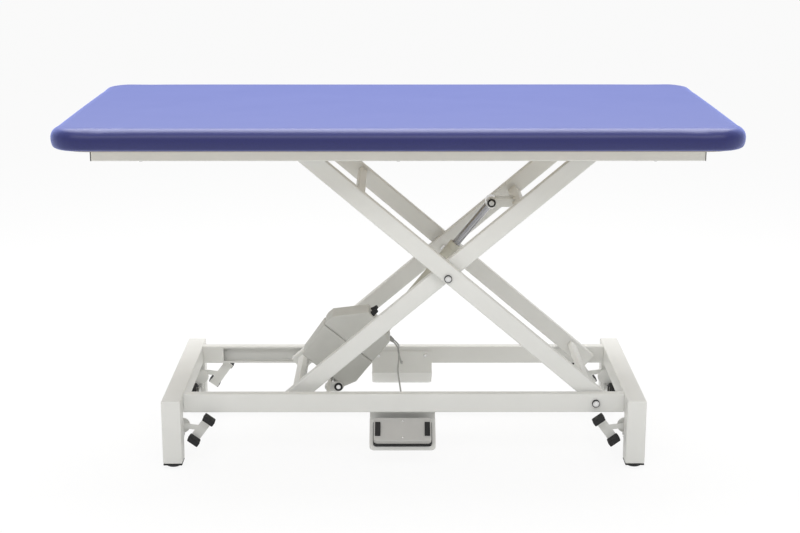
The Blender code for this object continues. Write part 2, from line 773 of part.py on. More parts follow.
def build_castor_lever(end, name):
    """A shaft between the legs of one end, with a pedal at both of its ends and a cam over each fork."""
    turn = 0.0 if end < 0 else math.pi
    axis = frame(f"{name}_castor_shaft", (leg_x(end), 0.0, SHAFT_HEIGHT), (0.0, 0.0, turn))
    reach = leg_inner_y + SHAFT_IN_LEG
    lever = bar(f"{name}_castor_lever", (0, -reach, 0), (0, reach, 0), SHAFT_RADIUS, PAINT, axis)
    upper = Vector(PEDAL_UPPER)
    lower = Vector(PEDAL_LOWER)
    joint = (upper + lower) / 2
    along = (upper - lower).normalized()
    tilt = Matrix.Rotation(math.atan2(along.y, along.x) - math.pi / 2, 2)
    cap = rounded_rectangle(
        (-CAP_LENGTH / 2, -CAP_HEIGHT / 2), (CAP_LENGTH / 2, CAP_HEIGHT / 2), CAP_HEIGHT / 4, 2
    )
    strip_half = (upper - lower).length / 2 + CAP_HEIGHT / 2 - GAP
    strip_outline = [
        joint + tilt @ Vector(point)
        for point in rounded_rectangle(
            (-PEDAL_STRIP_HALF, -strip_half), (PEDAL_STRIP_HALF, strip_half), CAP_HEIGHT / 4, 2
        )
    ]
    far = leg_inner_y - PEDAL_FROM_LEG
    near = far - PEDAL_PLATE
    for side, word in SIDES:
        label = f"{name}_{word}"
        low, high = span(side, near, far)
        hub = bar(f"{label}_pedal_hub", (0, low, 0), (0, high, 0), PEDAL_HUB_RADIUS, PAINT, axis)
        arm = plate(
            f"{label}_pedal_arm",
            [capsule((0.0, 0.0), joint, PEDAL_ARM_HALF)],
            low + GAP,
            high - GAP,
            "XZ",
            PAINT,
            axis,
        )
        strip = plate(f"{label}_pedal_strip", [strip_outline], low, high, "XZ", PAINT, axis)
        unite(lever, hub, arm, strip)
        cap_low, cap_high = span(side, near + PEDAL_PLATE / 2, near + CAP_DEPTH)
        for spot, height in ((upper, "upper"), (lower, "lower")):
            outline = [spot + tilt @ Vector(point) for point in cap]
            unite(lever, plate(f"{label}_{height}_cap", [outline], cap_low, cap_high, "XZ", PAINT, axis))
        cam_low, cam_high = span(side, cam_y - CAM_WIDTH / 2, cam_y + CAM_WIDTH / 2)
        cam = bar(
            f"{label}_cam",
            (CAM_OFFSET[0], cam_low, CAM_OFFSET[1]),
            (CAM_OFFSET[0], cam_high, CAM_OFFSET[1]),
            CAM_RADIUS,
            PAINT,
            axis,
        )
        unite(lever, cam)


def build_castor(side, word, end, name):
    """A fork that swings down on the leg's ears, with its wheel."""
    label = f"{word}_{name}_castor"
    turn = 0.0 if side < 0 else math.pi
    trunnion = frame(
        f"{label}_trunnion", (leg_x(end), side * trunnion_y, TRUNNION_Z), (0.0, 0.0, turn)
    )
    reach = LEG_EAR_INSIDE + LEG_EAR_THICKNESS
    fork = bar(f"{label}_fork", (-reach, 0, 0), (reach, 0, 0), TRUNNION_RADIUS, ZINC, trunnion)
    outline = capsule((0.0, 0.0), FORK_AXLE, FORK_END_RADIUS)
    for hand, hand_word in ENDS:
        low, high = span(hand, FORK_CHEEK_INSIDE, FORK_CHEEK_INSIDE + FORK_CHEEK_THICKNESS)
        unite(fork, plate(f"{label}_{hand_word}_cheek", [outline], low, high, "YZ", ZINC, trunnion))
    strap_half = FORK_CHEEK_INSIDE + FORK_CHEEK_THICKNESS / 2
    strap = slab(
        f"{label}_strap", (-strap_half, strap_half), FORK_STRAP, FORK_STRAP_HEIGHT, ZINC, trunnion
    )
    axle_reach = FORK_CHEEK_INSIDE + FORK_CHEEK_THICKNESS + AXLE_RADIUS / 2
    axle = bar(
        f"{label}_axle",
        (-axle_reach, *FORK_AXLE),
        (axle_reach, *FORK_AXLE),
        AXLE_RADIUS,
        ZINC,
        trunnion,
    )
    unite(fork, strap, axle)

    wheel_axis = frame(f"{label}_wheel_axis", (0.0, *FORK_AXLE), (0.0, 0.0, 0.0), trunnion)
    half = WHEEL_WIDTH / 2
    edge = WHEEL_ROUNDING
    profile = [
        (WHEEL_RADIUS - edge, half),
        (WHEEL_RADIUS - edge / 4, half - edge / 3),
        (WHEEL_RADIUS, half - edge),
        (WHEEL_RADIUS, edge - half),
        (WHEEL_RADIUS - edge / 4, edge / 3 - half),
        (WHEEL_RADIUS - edge, -half),
        (AXLE_RADIUS + GAP, -half),
        (AXLE_RADIUS + GAP, half),
    ]
    turned(f"{label}_wheel", profile, "X", (0.0, 0.0, 0.0), BLACK, wheel_axis, ring=True)


def build_arm(name, side, y_range, low, high, bores, parent):
    """A hollow arm along its own X, bored through for its pins a little under its middle line."""
    bottom = ARM_ABOVE_PIVOTS - ARM_HEIGHT / 2
    top = ARM_ABOVE_PIVOTS + ARM_HEIGHT / 2
    arm = square_tube(name, span(side, *y_range), (bottom, top), low, high, PAINT, parent)
    for number, x in enumerate(bores):
        bore = bar(
            f"{name}_bore_{number}",
            (x, side * (y_range[0] - ARM_GAP / 2), 0),
            (x, side * (y_range[1] + ARM_GAP / 2), 0),
            PIVOT_RADIUS + GAP,
            PAINT,
            parent,
        )
        cut(arm, bore)


def build_roller(name, x, side, radius, parent):
    low, high = span(side, rail_middle - ROLLER_WIDTH / 2, rail_middle + ROLLER_WIDTH / 2)
    sleeve(name, PIVOT_RADIUS + GAP, radius, low, high, "Y", (x, 0.0, 0.0), NYLON, parent)


def build_tie(name, x, reach, bottom, top, width, parent):
    """A cross tube between the two arms of a pair."""
    return slab(name, (x - width / 2, x + width / 2), (-reach, reach), (bottom, top), PAINT, parent)


def build_axle(name, x, parent):
    profile = [(0.0, axle_end), (PIVOT_RADIUS, axle_end), (PIVOT_RADIUS, -axle_end), (0.0, -axle_end)]
    turned(name, profile, "Y", (x, 0.0, 0.0), ZINC, parent)


def build_outer_arms():
    """The outer arms: hinged on the base rails at the right, rolling in the top's rails at the left."""
    pivot = frame("outer_arm_pivot", (FIXED_PIVOT_X, 0.0, lower_pivot_z), (0.0, ARM_REST_ANGLE, 0.0))
    middle = -ARM_HALF_LENGTH
    upper_end = -2 * ARM_HALF_LENGTH
    for side, name in SIDES:
        build_arm(
            f"{name}_outer_arm",
            side,
            (outer_arm_inside, outer_arm_outside),
            upper_end - ARM_UPPER_REACH,
            ARM_LOWER_REACH,
            (0.0, middle, upper_end),
            pivot,
        )
        build_roller(f"{name}_upper_roller", upper_end, side, upper_roller_radius, pivot)
        pivot_bolt(
            f"{name}_centre_pivot_bolt",
            side,
            outer_arm_outside + GAP,
            inner_arm_inside - BOLT_END,
            (middle, 0.0, 0.0),
            pivot,
        )
    build_axle("upper_roller_axle", upper_end, pivot)
    reach = outer_arm_inside - GAP
    ties = (
        ("outer_upper_cross_tube", middle - OUTER_UPPER_TIE),
        ("outer_lower_cross_tube", middle + ARM_HALF_LENGTH - OUTER_LOWER_TIE_FROM_PIVOT),
    )
    for name, x in ties:
        tie = build_tie(name, x, reach, TIE_BOTTOM, TIE_TOP, TIE_WIDTH, pivot)
        round_edges(tie, TUBE_ROUNDING / 2)
    return pivot


def build_inner_arms(outer_pivot):
    """The inner arms: crossing the outer pair at the middle, rolling in the base rails at the left."""
    centre = frame(
        "inner_arm_pivot", (-ARM_HALF_LENGTH, 0.0, 0.0), (0.0, -2 * ARM_REST_ANGLE, 0.0), outer_pivot
    )
    lower_end = -ARM_HALF_LENGTH
    upper_end = ARM_HALF_LENGTH
    for side, name in SIDES:
        build_arm(
            f"{name}_inner_arm",
            side,
            (inner_arm_inside, inner_arm_outside),
            lower_end - ARM_LOWER_REACH,
            upper_end + ARM_UPPER_REACH,
            (lower_end, 0.0, upper_end),
            centre,
        )
        build_roller(f"{name}_lower_roller", lower_end, side, lower_roller_radius, centre)
    build_axle("lower_roller_axle", lower_end, centre)
    reach = inner_arm_inside - GAP
    lower_tie = build_tie(
        "inner_lower_cross_tube", lower_end, reach, TIE_BOTTOM, TIE_TOP, TIE_WIDTH, centre
    )
    round_edges(lower_tie, TUBE_ROUNDING / 2)
    build_actuator_tie(centre, reach)
    return centre


def build_actuator_tie(centre, reach):
    """The cross tube of the inner arms that the actuator lifts, with two ears for the rod's eye."""
    half = ACTUATOR_TIE_SIZE / 2
    tie = build_tie("actuator_cross_tube", ACTUATOR_TIE, reach, -half, half, ACTUATOR_TIE_SIZE, centre)
    spot = (UPPER_PIN_ALONG, UPPER_PIN_ABOVE)
    outline = capsule((ACTUATOR_TIE, 0.0), spot, half - EAR_THICKNESS / 3)
    near = UPPER_EAR_FROM_MIDDLE
    far = near + EAR_THICKNESS
    for side, name in SIDES:
        low, high = span(side, near, far)
        ear = plate(f"{name}_tie_ear", [outline], low, high, "XZ", PAINT, centre)
        stub = bar(
            f"{name}_tie_stub",
            (spot[0], side * (near + EAR_THICKNESS / 2), spot[1]),
            (spot[0], side * (far + UPPER_STUB_HEIGHT), spot[1]),
            PIVOT_RADIUS,
            PAINT,
            centre,
        )
        unite(tie, ear, stub)


def build_top(inner_pivot):
    """The top frame on the upper ends of the arms, with its board and the pad."""
    top = frame("top_pivot", (ARM_HALF_LENGTH, 0.0, 0.0), (0.0, ARM_REST_ANGLE, 0.0), inner_pivot)

    def local_x(x):
        return x - FIXED_PIVOT_X

    def local_z(z):
        return z - upper_pivot_z

    half_height = TOP_RAIL_HEIGHT / 2
    for side, name in SIDES:
        rail = square_tube(
            f"{name}_upper_rail",
            span(side, rail_inner, rail_outer),
            (-half_height, half_height),
            local_x(-top_rail_reach),
            local_x(top_rail_reach),
            PAINT,
            top,
        )
        cut(rail, slot_cutter(f"{name}_top_slot", side, 0.0, TOP_RAIL_HEIGHT, top, FIXED_PIVOT_X))
        pin = bar(
            f"{name}_top_pin",
            (0, side * (inner_arm_inside - BOLT_END), 0),
            (0, side * (rail_inner + WALL / 2), 0),
            PIVOT_RADIUS,
            PAINT,
            top,
        )
        unite(rail, pin)
    half = TOP_BAR_WIDTH / 2
    low = local_z(top_bar_bottom)
    for end, name in ENDS:
        x = local_x(end * top_bar_x)
        outside = rounded_rectangle((x - half, low), (x + half, low + TOP_BAR_THICKNESS), TUBE_ROUNDING)
        inside = rounded_rectangle(
            (x - half + WALL, low + WALL),
            (x + half - WALL, low + TOP_BAR_THICKNESS - WALL),
            TUBE_ROUNDING - WALL,
            1,
        )
        plate(f"{name}_top_cross_bar", [outside, inside], -rail_outer, rail_outer, "XZ", PAINT, top)
    length = PAD_LENGTH / 2
    width = PAD_WIDTH / 2
    board = rounded_rectangle(
        (local_x(BOARD_INSET - length), BOARD_INSET - width),
        (local_x(length - BOARD_INSET), width - BOARD_INSET),
        PAD_CORNER_RADIUS,
        5,
    )
    low = local_z(board_bottom)
    plate("pad_board", [board], low, low + BOARD_THICKNESS, "XY", WOOD, top)
    recess = rounded_rectangle(
        (local_x(BOARD_INSET - GAP - length), BOARD_INSET - GAP - width),
        (local_x(length - BOARD_INSET + GAP), width - BOARD_INSET + GAP),
        PAD_CORNER_RADIUS,
        5,
    )
    board_recess = plate(
        "pad_board_recess", [recess], low - BOARD_THICKNESS, low + BOARD_THICKNESS + GAP, "XY", VINYL, top
    )
    outline = rounded_rectangle(
        (local_x(-length), -width), (local_x(length), width), PAD_CORNER_RADIUS, 8
    )
    low = local_z(pad_bottom)
    pad = plate("pad", [outline], low, low + PAD_THICKNESS, "XY", VINYL, top)
    round_edges(pad, PAD_EDGE_RADIUS, 4)
    cut(pad, board_recess)


def housing_outline(start, end):
    """The part of the housing's side view between two places along the axis."""
    outline = list(HOUSING_PROFILE) + arc((0.0, 0.0), HOUSING_LUG_RADIUS, 60, 300, 8)
    clipped = []
    for first, second in zip(outline, outline[1:] + outline[:1]):
        if start <= first[0] <= end:
            clipped.append(first)
        low, high = sorted((first[0], second[0]))
        crossings = [x for x in (start, end) if low < x < high]
        for x in sorted(crossings, reverse=first[0] > second[0]):
            share = (x - first[0]) / (second[0] - first[0])
            clipped.append((x, first[1] + share * (second[1] - first[1])))
    return clipped


def build_actuator(inner_pivot):
    """The actuator: a motor housing hinged on the base, a tube that slides in it and a rod in the tube."""
    bpy.context.view_layer.update()
    upper_pin = inner_pivot.matrix_world @ Vector((UPPER_PIN_ALONG, 0.0, UPPER_PIN_ABOVE))
    lower_pin = Vector((lower_pin_x, 0.0, LOWER_PIN_Z))
    reach = upper_pin - lower_pin
    slope = math.atan2(reach.z, reach.x)
    axis = frame("actuator_axis", lower_pin, (0.0, -slope, 0.0))
    half = HOUSING_DEPTH / 2
    nose = max(point[0] for point in HOUSING_PROFILE)
    halves = (
        ("motor_housing", -2 * HOUSING_LUG_RADIUS, HOUSING_SEAM),
        ("motor_cover", HOUSING_SEAM + GAP, 2 * nose),
    )
    for name, start, end in halves:
        housing = plate(name, [housing_outline(start, end)], -half, half, "XZ", MOTOR, axis)
        round_edges(housing, HOUSING_ROUNDING)
        bore = bar(
            f"{name}_tube_bore", (BORE_START, 0, 0), (2 * nose, 0, 0), TUBE_RADIUS + GAP, MOTOR, axis
        )
        cut(housing, bore)
        if name == "motor_housing":
            pin_bore = bar(
                "housing_pin_bore",
                (0, -HOUSING_DEPTH, 0),
                (0, HOUSING_DEPTH, 0),
                LOWER_PIN_RADIUS + GAP,
                MOTOR,
                axis,
            )
            cut(housing, pin_bore)
    sleeve(
        "actuator_tube",
        ROD_RADIUS + GAP,
        TUBE_RADIUS,
        TUBE_START,
        TUBE_END,
        "X",
        (0.0, 0.0, 0.0),
        TUBE,
        axis,
    )
    length = reach.length
    rod = bar("actuator_rod", (ROD_START, 0, 0), (length, 0, 0), ROD_RADIUS, CHROME, axis)
    eye_half = UPPER_EAR_FROM_MIDDLE - GAP
    eye = bar("rod_eye", (length, -eye_half, 0), (length, eye_half, 0), ROD_EYE_RADIUS, CHROME, axis)
    unite(rod, eye)
    return axis


def build_table():
    for end, name in ENDS:
        build_end_frame(end, name)
        build_castor_lever(end, name)
        for side, word in SIDES:
            build_castor(side, word, end, name)
    build_actuator_mount()
    outer_pivot = build_outer_arms()
    inner_pivot = build_inner_arms(outer_pivot)
    build_top(inner_pivot)
    actuator = build_actuator(inner_pivot)
    for side, name in SIDES:
        build_base_rail(side, name)
        build_switch(side, name)
        build_cable(side, name, actuator)


build_table()
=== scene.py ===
# %% [markdown]
# # A wide electric treatment table
# This lesson dresses a finished CAD model. The model gives every solid its place and its motion, and
# the cells below add what a solid lacks: the soft pad, rubber, fasteners, cables and real finishes.

# %% Load the frame
import json
import math

import bmesh
import bpy
from mathutils import Matrix, Vector


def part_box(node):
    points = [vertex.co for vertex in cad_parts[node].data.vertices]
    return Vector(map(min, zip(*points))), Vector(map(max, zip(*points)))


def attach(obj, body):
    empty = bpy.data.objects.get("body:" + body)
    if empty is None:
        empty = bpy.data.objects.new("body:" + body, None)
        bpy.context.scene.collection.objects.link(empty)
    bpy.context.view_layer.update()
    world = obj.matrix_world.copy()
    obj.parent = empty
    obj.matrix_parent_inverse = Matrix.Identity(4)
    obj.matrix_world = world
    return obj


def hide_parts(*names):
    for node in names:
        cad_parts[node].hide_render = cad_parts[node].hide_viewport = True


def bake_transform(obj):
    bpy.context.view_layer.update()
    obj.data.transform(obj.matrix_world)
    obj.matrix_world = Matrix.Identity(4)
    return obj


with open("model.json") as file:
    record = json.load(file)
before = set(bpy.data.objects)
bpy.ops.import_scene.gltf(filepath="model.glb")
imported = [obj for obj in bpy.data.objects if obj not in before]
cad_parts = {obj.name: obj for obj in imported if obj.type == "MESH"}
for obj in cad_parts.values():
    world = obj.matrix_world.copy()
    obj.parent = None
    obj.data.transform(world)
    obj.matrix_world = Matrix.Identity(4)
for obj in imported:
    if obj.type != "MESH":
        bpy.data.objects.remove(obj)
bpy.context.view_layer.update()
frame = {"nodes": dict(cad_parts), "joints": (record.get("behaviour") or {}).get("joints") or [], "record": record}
joints = {joint["name"]: joint for joint in frame["joints"]}
slot_of_node = {part["node"]: part["material_slot"] for part in frame["record"]["subparts"]}
SIDES = ((-1, "front"), (1, "rear"))
ENDS = ((-1, "left"), (1, "right"))

# %% [markdown]
# ## Camera
# The photograph was taken from in front, a little above the pad. Its place and lens were found by
# fitting the edges of the frame, so the camera is simply put there. There is no shift and no blur.

# %% Camera
CAMERA_PLACE = (-0.0045, -4.782, 1.785)
CAMERA_PITCH = math.radians(75.635)
CAMERA_YAW = math.radians(-0.1225)
CAMERA_LENS_MM = 68.99
SENSOR_MM = 36.0

lens = bpy.data.cameras.new("photo_camera")
lens.lens = CAMERA_LENS_MM
lens.sensor_width = SENSOR_MM
camera = bpy.data.objects.new("photo_camera", lens)
camera.location = CAMERA_PLACE
camera.rotation_euler = (CAMERA_PITCH, 0.0, CAMERA_YAW)
bpy.context.scene.collection.objects.link(camera)
bpy.context.scene.camera = camera
bpy.context.scene.view_settings.view_transform = "Standard"
print("camera at", CAMERA_PLACE)

# %% [markdown]
# ## Two helpers for finishes
# Hex colours are how a paint chart is written, but shaders count light, so one function turns the
# written colour to linear light. The other adds a node, sets it and links it in one line. Patterns
# read Object coordinates, which are metres here, so a scale is one over the size in metres.


# %% Helpers for finishes
def linear(code):
    """An sRGB hex colour as linear light with full alpha."""
    channels = [int(code[place : place + 2], 16) / 255 for place in (1, 3, 5)]
    return (*[c / 12.92 if c <= 0.04045 else ((c + 0.055) / 1.055) ** 2.4 for c in channels], 1.0)


def add(tree, kind, inputs=None, **settings):
    """A new node with its settings. An input is a value or a socket to link from."""
    node = tree.nodes.new(kind)
    for name, value in settings.items():
        setattr(node, name, value)
    for name, value in (inputs or {}).items():
        if isinstance(value, bpy.types.NodeSocket):
            tree.links.new(value, node.inputs[name])
        else:
            node.inputs[name].default_value = value
    return node


def per_metre(millimetres):
    """The scale of a pattern whose features are this far apart."""
    return 1000.0 / millimetres


def new_finish(name, **sockets):
    """A Principled material with uniform values set on its own sockets, and its object coordinates."""
    material = bpy.data.materials.new(name)
    material.use_nodes = True
    tree = material.node_tree
    shader = tree.nodes["Principled BSDF"]
    for socket, value in sockets.items():
        shader.inputs[socket.replace("_", " ")].default_value = value
    place = add(tree, "ShaderNodeTexCoord").outputs["Object"]
    return material, tree, shader, place


finishes = {}
print("helpers ready")

# %% [markdown]
# ## Powder-coated steel
# The tubes are sprayed with dry powder that melts into a tough skin. It never lies quite flat: it has
# a faint orange-peel ripple, and a slow change of tone where the coat is thicker. A noise of a few
# millimetres gives the ripple through a bump, and a wide noise gives the tone.


# %% Powder-coated steel and the actuator's paint
# The real ripple is about 1.5 mm; it is drawn at 4 mm so that it shows
RIPPLE_MM = 4.0
COAT_TONE_MM = 140.0
RIPPLE_DEPTH = 0.0004
RIPPLE_STRENGTH = 0.12


def powder_coat(name, light, dark, roughness_low, roughness_high):
    """Satin paint: an orange-peel ripple and a slow change of tone."""
    material, tree, shader, place = new_finish(name, IOR=1.5)
    ripple = add(tree, "ShaderNodeTexNoise", {"Vector": place, "Scale": per_metre(RIPPLE_MM), "Detail": 2.0})
    tone = add(tree, "ShaderNodeTexNoise", {"Vector": place, "Scale": per_metre(COAT_TONE_MM), "Detail": 3.0})
    colour = add(tree, "ShaderNodeMix", {"Factor": tone.outputs["Fac"]}, data_type="RGBA")
    colour.inputs["A"].default_value = linear(light)
    colour.inputs["B"].default_value = linear(dark)
    gloss = add(tree, "ShaderNodeMapRange", {"Value": ripple.outputs["Fac"]})
    gloss.inputs["To Min"].default_value = roughness_low
    gloss.inputs["To Max"].default_value = roughness_high
    bump = add(
        tree,
        "ShaderNodeBump",
        {"Height": ripple.outputs["Fac"], "Strength": RIPPLE_STRENGTH, "Distance": RIPPLE_DEPTH},
    )
    tree.links.new(colour.outputs["Result"], shader.inputs["Base Color"])
    tree.links.new(gloss.outputs["Result"], shader.inputs["Roughness"])
    tree.links.new(bump.outputs["Normal"], shader.inputs["Normal"])
    return material


finishes["painted_steel"] = powder_coat("powder_coated_steel", "#e3e3e0", "#dbdbd7", 0.38, 0.50)
finishes["actuator_tube_paint"] = powder_coat("satin_tube_paint", "#bcbaae", "#b2b0a4", 0.40, 0.55)
print("paints", finishes["painted_steel"].name)

# %% [markdown]
# ## Leatherette
# The pad is covered in PVC-coated fabric, embossed with a fine pebble grain and wiped down many times a
# day. A Voronoi pattern gives the pebbles, rounded into a bump, and their valleys are darkened as painted
# shade. The flanks of the pebbles catch light at a low angle, so the flat top looks pale where the
# upright edge looks dark. A blue sheen stands in for them.

# %% Leatherette
# The real pebbles are about 1 mm; they are drawn at 2.4 mm so that they show
PEBBLE_MM = 2.4
PEBBLE_DEPTH = 0.0003
PEBBLE_STRENGTH = 0.10
PEBBLE_SMOOTHNESS = 0.6
SKIN_TONE_MM = 220.0
SHEEN_WEIGHT = 0.80
SHEEN_ROUGHNESS = 0.50
material, tree, shader, place = new_finish(
    "blue_leatherette",
    IOR=1.45,
    Sheen_Weight=SHEEN_WEIGHT,
    Sheen_Roughness=SHEEN_ROUGHNESS,
    Sheen_Tint=linear("#95a6f4"),
)
pebbles = add(tree, "ShaderNodeTexVoronoi", {"Vector": place, "Scale": per_metre(PEBBLE_MM)})
pebbles.feature = "SMOOTH_F1"
pebbles.inputs["Smoothness"].default_value = PEBBLE_SMOOTHNESS
soft_tone = add(
    tree, "ShaderNodeTexNoise", {"Vector": place, "Scale": per_metre(SKIN_TONE_MM), "Detail": 2.0}
)
skin = add(tree, "ShaderNodeMix", {"Factor": soft_tone.outputs["Fac"]}, data_type="RGBA")
skin.inputs["A"].default_value = linear("#212365")
skin.inputs["B"].default_value = linear("#1e205e")
# Painted shade: the pebbles' valleys are darkened towards #181a50.
painted_valley_shade = add(tree, "ShaderNodeMix", {"Factor": pebbles.outputs["Distance"]}, data_type="RGBA")
tree.links.new(skin.outputs["Result"], painted_valley_shade.inputs["A"])
painted_valley_shade.inputs["B"].default_value = linear("#181a50")
wipe = add(tree, "ShaderNodeMapRange", {"Value": soft_tone.outputs["Fac"]})
wipe.inputs["To Min"].default_value = 0.34
wipe.inputs["To Max"].default_value = 0.42
grain = add(
    tree,
    "ShaderNodeBump",
    {"Height": pebbles.outputs["Distance"], "Strength": PEBBLE_STRENGTH, "Distance": PEBBLE_DEPTH},
    invert=True,
)
tree.links.new(painted_valley_shade.outputs["Result"], shader.inputs["Base Color"])
tree.links.new(wipe.outputs["Result"], shader.inputs["Roughness"])
tree.links.new(grain.outputs["Normal"], shader.inputs["Normal"])
finishes["blue_upholstery"] = material
print("leatherette pebbles", PEBBLE_MM, "mm")

# %% [markdown]
# ## Rubber and moulded plastics
# Rubber and plastic parts come out of spark-eroded moulds, which leave an even, dull grain. The same
# few nodes serve them all: a fine noise for the grain and a wide one for dust and handling.


# %% Rubber, moulded plastics, nylon and the cable's sheath
DUST_MM = 45.0
GRAIN_DEPTH = 0.0003


def moulded(name, light, dark, grain_mm, roughness_low, roughness_high, strength):
    """A moulded skin: an even spark-eroded grain and a faint change of tone."""
    material, tree, shader, place = new_finish(name, IOR=1.5)
    grain = add(tree, "ShaderNodeTexNoise", {"Vector": place, "Scale": per_metre(grain_mm), "Detail": 3.0})
    tone = add(tree, "ShaderNodeTexNoise", {"Vector": place, "Scale": per_metre(DUST_MM), "Detail": 3.0})
    colour = add(tree, "ShaderNodeMix", {"Factor": tone.outputs["Fac"]}, data_type="RGBA")
    colour.inputs["A"].default_value = linear(light)
    colour.inputs["B"].default_value = linear(dark)
    gloss = add(tree, "ShaderNodeMapRange", {"Value": tone.outputs["Fac"]})
    gloss.inputs["To Min"].default_value = roughness_low
    gloss.inputs["To Max"].default_value = roughness_high
    bump = add(
        tree,
        "ShaderNodeBump",
        {"Height": grain.outputs["Fac"], "Strength": strength, "Distance": GRAIN_DEPTH},
    )
    tree.links.new(colour.outputs["Result"], shader.inputs["Base Color"])
    tree.links.new(gloss.outputs["Result"], shader.inputs["Roughness"])
    tree.links.new(bump.outputs["Normal"], shader.inputs["Normal"])
    return material


# The real grains are 0.3 to 0.8 mm; they are drawn at 1.5 to 2.5 mm so that they show
finishes["black_rubber"] = moulded("moulded_black_rubber", "#1d1d1e", "#151516", 2.0, 0.60, 0.78, 0.25)
finishes["grey_motor_plastic"] = moulded("grey_abs_housing", "#c6c6c1", "#bcbcb7", 2.5, 0.48, 0.60, 0.20)
finishes["grey_switch_plastic"] = moulded("grey_abs_switch", "#bfbebb", "#b5b4b1", 1.5, 0.45, 0.58, 0.15)
finishes["nylon"] = moulded("natural_nylon", "#d8d6cc", "#cdcbc0", 1.5, 0.45, 0.60, 0.10)
finishes["grey_cable"] = moulded("grey_pvc_sheath", "#a6a6a3", "#9c9c99", 1.5, 0.45, 0.55, 0.10)
print("moulded finishes", len(finishes))

# %% [markdown]
# ## Bare metals and plywood
# The rod is hard-chromed and polished, so it needs little more than a trace of polishing marks. The
# bolts, pins and forks are bright zinc plated, which shows a faint crystal pattern. The board under the
# pad is birch plywood: long grain on its faces, and thin plies on its edge.

# %% Chrome, zinc plate and plywood
POLISH_MM = 3.0
CRYSTAL_MM = 3.0
PLY_MM = 3.2
FIBRE_MM = 6.0
FIBRE_STRETCH = 0.06
WOOD_ROUGHNESS = 0.65
material, tree, shader, place = new_finish("polished_hard_chrome", Metallic=1.0)
shader.inputs["Base Color"].default_value = linear("#a6a6a9")
marks = add(tree, "ShaderNodeTexNoise", {"Vector": place, "Scale": per_metre(POLISH_MM), "Detail": 4.0})
polish = add(tree, "ShaderNodeMapRange", {"Value": marks.outputs["Fac"]})
polish.inputs["To Min"].default_value = 0.06
polish.inputs["To Max"].default_value = 0.16
tree.links.new(polish.outputs["Result"], shader.inputs["Roughness"])
finishes["chrome"] = material

material, tree, shader, place = new_finish("bright_zinc_plate", Metallic=1.0)
crystals = add(tree, "ShaderNodeTexVoronoi", {"Vector": place, "Scale": per_metre(CRYSTAL_MM)})
plating = add(tree, "ShaderNodeMix", {"Factor": crystals.outputs["Distance"]}, data_type="RGBA")
plating.inputs["A"].default_value = linear("#e6e6e5")
plating.inputs["B"].default_value = linear("#d6d6d5")
dull = add(tree, "ShaderNodeMapRange", {"Value": crystals.outputs["Distance"]})
dull.inputs["To Min"].default_value = 0.20
dull.inputs["To Max"].default_value = 0.32
tree.links.new(plating.outputs["Result"], shader.inputs["Base Color"])
tree.links.new(dull.outputs["Result"], shader.inputs["Roughness"])
finishes["zinc_plated_steel"] = material

material, tree, shader, place = new_finish("birch_plywood", IOR=1.5)
plies = add(tree, "ShaderNodeTexWave", {"Vector": place, "Scale": per_metre(PLY_MM) / 10, "Distortion": 0.4})
plies.bands_direction = "Z"
stretch = add(tree, "ShaderNodeMapping", {"Vector": place, "Scale": (FIBRE_STRETCH, 1.0, 1.0)})
fibres = add(
    tree,
    "ShaderNodeTexNoise",
    {"Vector": stretch.outputs["Vector"], "Scale": per_metre(FIBRE_MM), "Detail": 5.0},
)
layers = add(tree, "ShaderNodeMix", {"Factor": plies.outputs["Fac"]}, data_type="RGBA")
layers.inputs["A"].default_value = linear("#cfc6b6")
layers.inputs["B"].default_value = linear("#beb3a0")
figure = add(
    tree, "ShaderNodeMix", {"Factor": fibres.outputs["Fac"]}, data_type="RGBA", blend_type="MULTIPLY"
)
tree.links.new(layers.outputs["Result"], figure.inputs["A"])
figure.inputs["B"].default_value = linear("#ece6dc")
shader.inputs["Roughness"].default_value = WOOD_ROUGHNESS
tree.links.new(figure.outputs["Result"], shader.inputs["Base Color"])
finishes["plywood"] = material

for name, node in frame["nodes"].items():
    node.material_slots[0].material = finishes[slot_of_node[name]]
print("finishes", sorted(finishes))

# %% [markdown]
# ## Making pieces
# Most of the fittings are turned: a half outline is spun round a line, as on a lathe. The others
# start as a block with bevelled edges. Each finished piece then rides on the body that carries it.


# %% Helpers for pieces
ROUND_STEPS = 48
SHARP_ANGLE = math.radians(35)


def turned(profile, origin, direction, steps=ROUND_STEPS, ring=False):
    """Spins (radius, along) points round a line from origin, into a closed shape facing out."""
    shape = bmesh.new()
    points = [shape.verts.new((radius, 0.0, along)) for radius, along in profile]
    pairs = list(zip(points, points[1:]))
    if ring:
        pairs.append((points[-1], points[0]))
    edges = [shape.edges.new(pair) for pair in pairs]
    bmesh.ops.spin(
        shape,
        geom=points + edges,
        axis=(0.0, 0.0, 1.0),
        cent=(0.0, 0.0, 0.0),
        angle=2 * math.pi,
        steps=steps,
        use_merge=True,
    )
    bmesh.ops.remove_doubles(shape, verts=shape.verts, dist=1e-5)
    bmesh.ops.recalc_face_normals(shape, faces=shape.faces)
    turn = Vector(direction).to_track_quat("Z", "Y").to_matrix().to_4x4()
    bmesh.ops.transform(shape, matrix=Matrix.Translation(origin) @ turn, verts=shape.verts)
    return shape


def round_off(shape, edges, radius, segments):
    """Rounds some edges of a shape."""
    bmesh.ops.bevel(
        shape, geom=edges, offset=radius, affect="EDGES", segments=segments, profile=0.5, material=-1
    )


def block(low, high, rounding, segments=3):
    """A box between two corners, with its edges rounded where a radius is given."""
    size = [b - a for a, b in zip(low, high)]
    middle = [(a + b) / 2 for a, b in zip(low, high)]
    shape = bmesh.new()
    bmesh.ops.create_cube(shape, size=1.0, matrix=Matrix.Translation(middle) @ Matrix.Diagonal((*size, 1.0)))
    if rounding:
        round_off(shape, shape.edges[:], rounding, segments)
    return shape


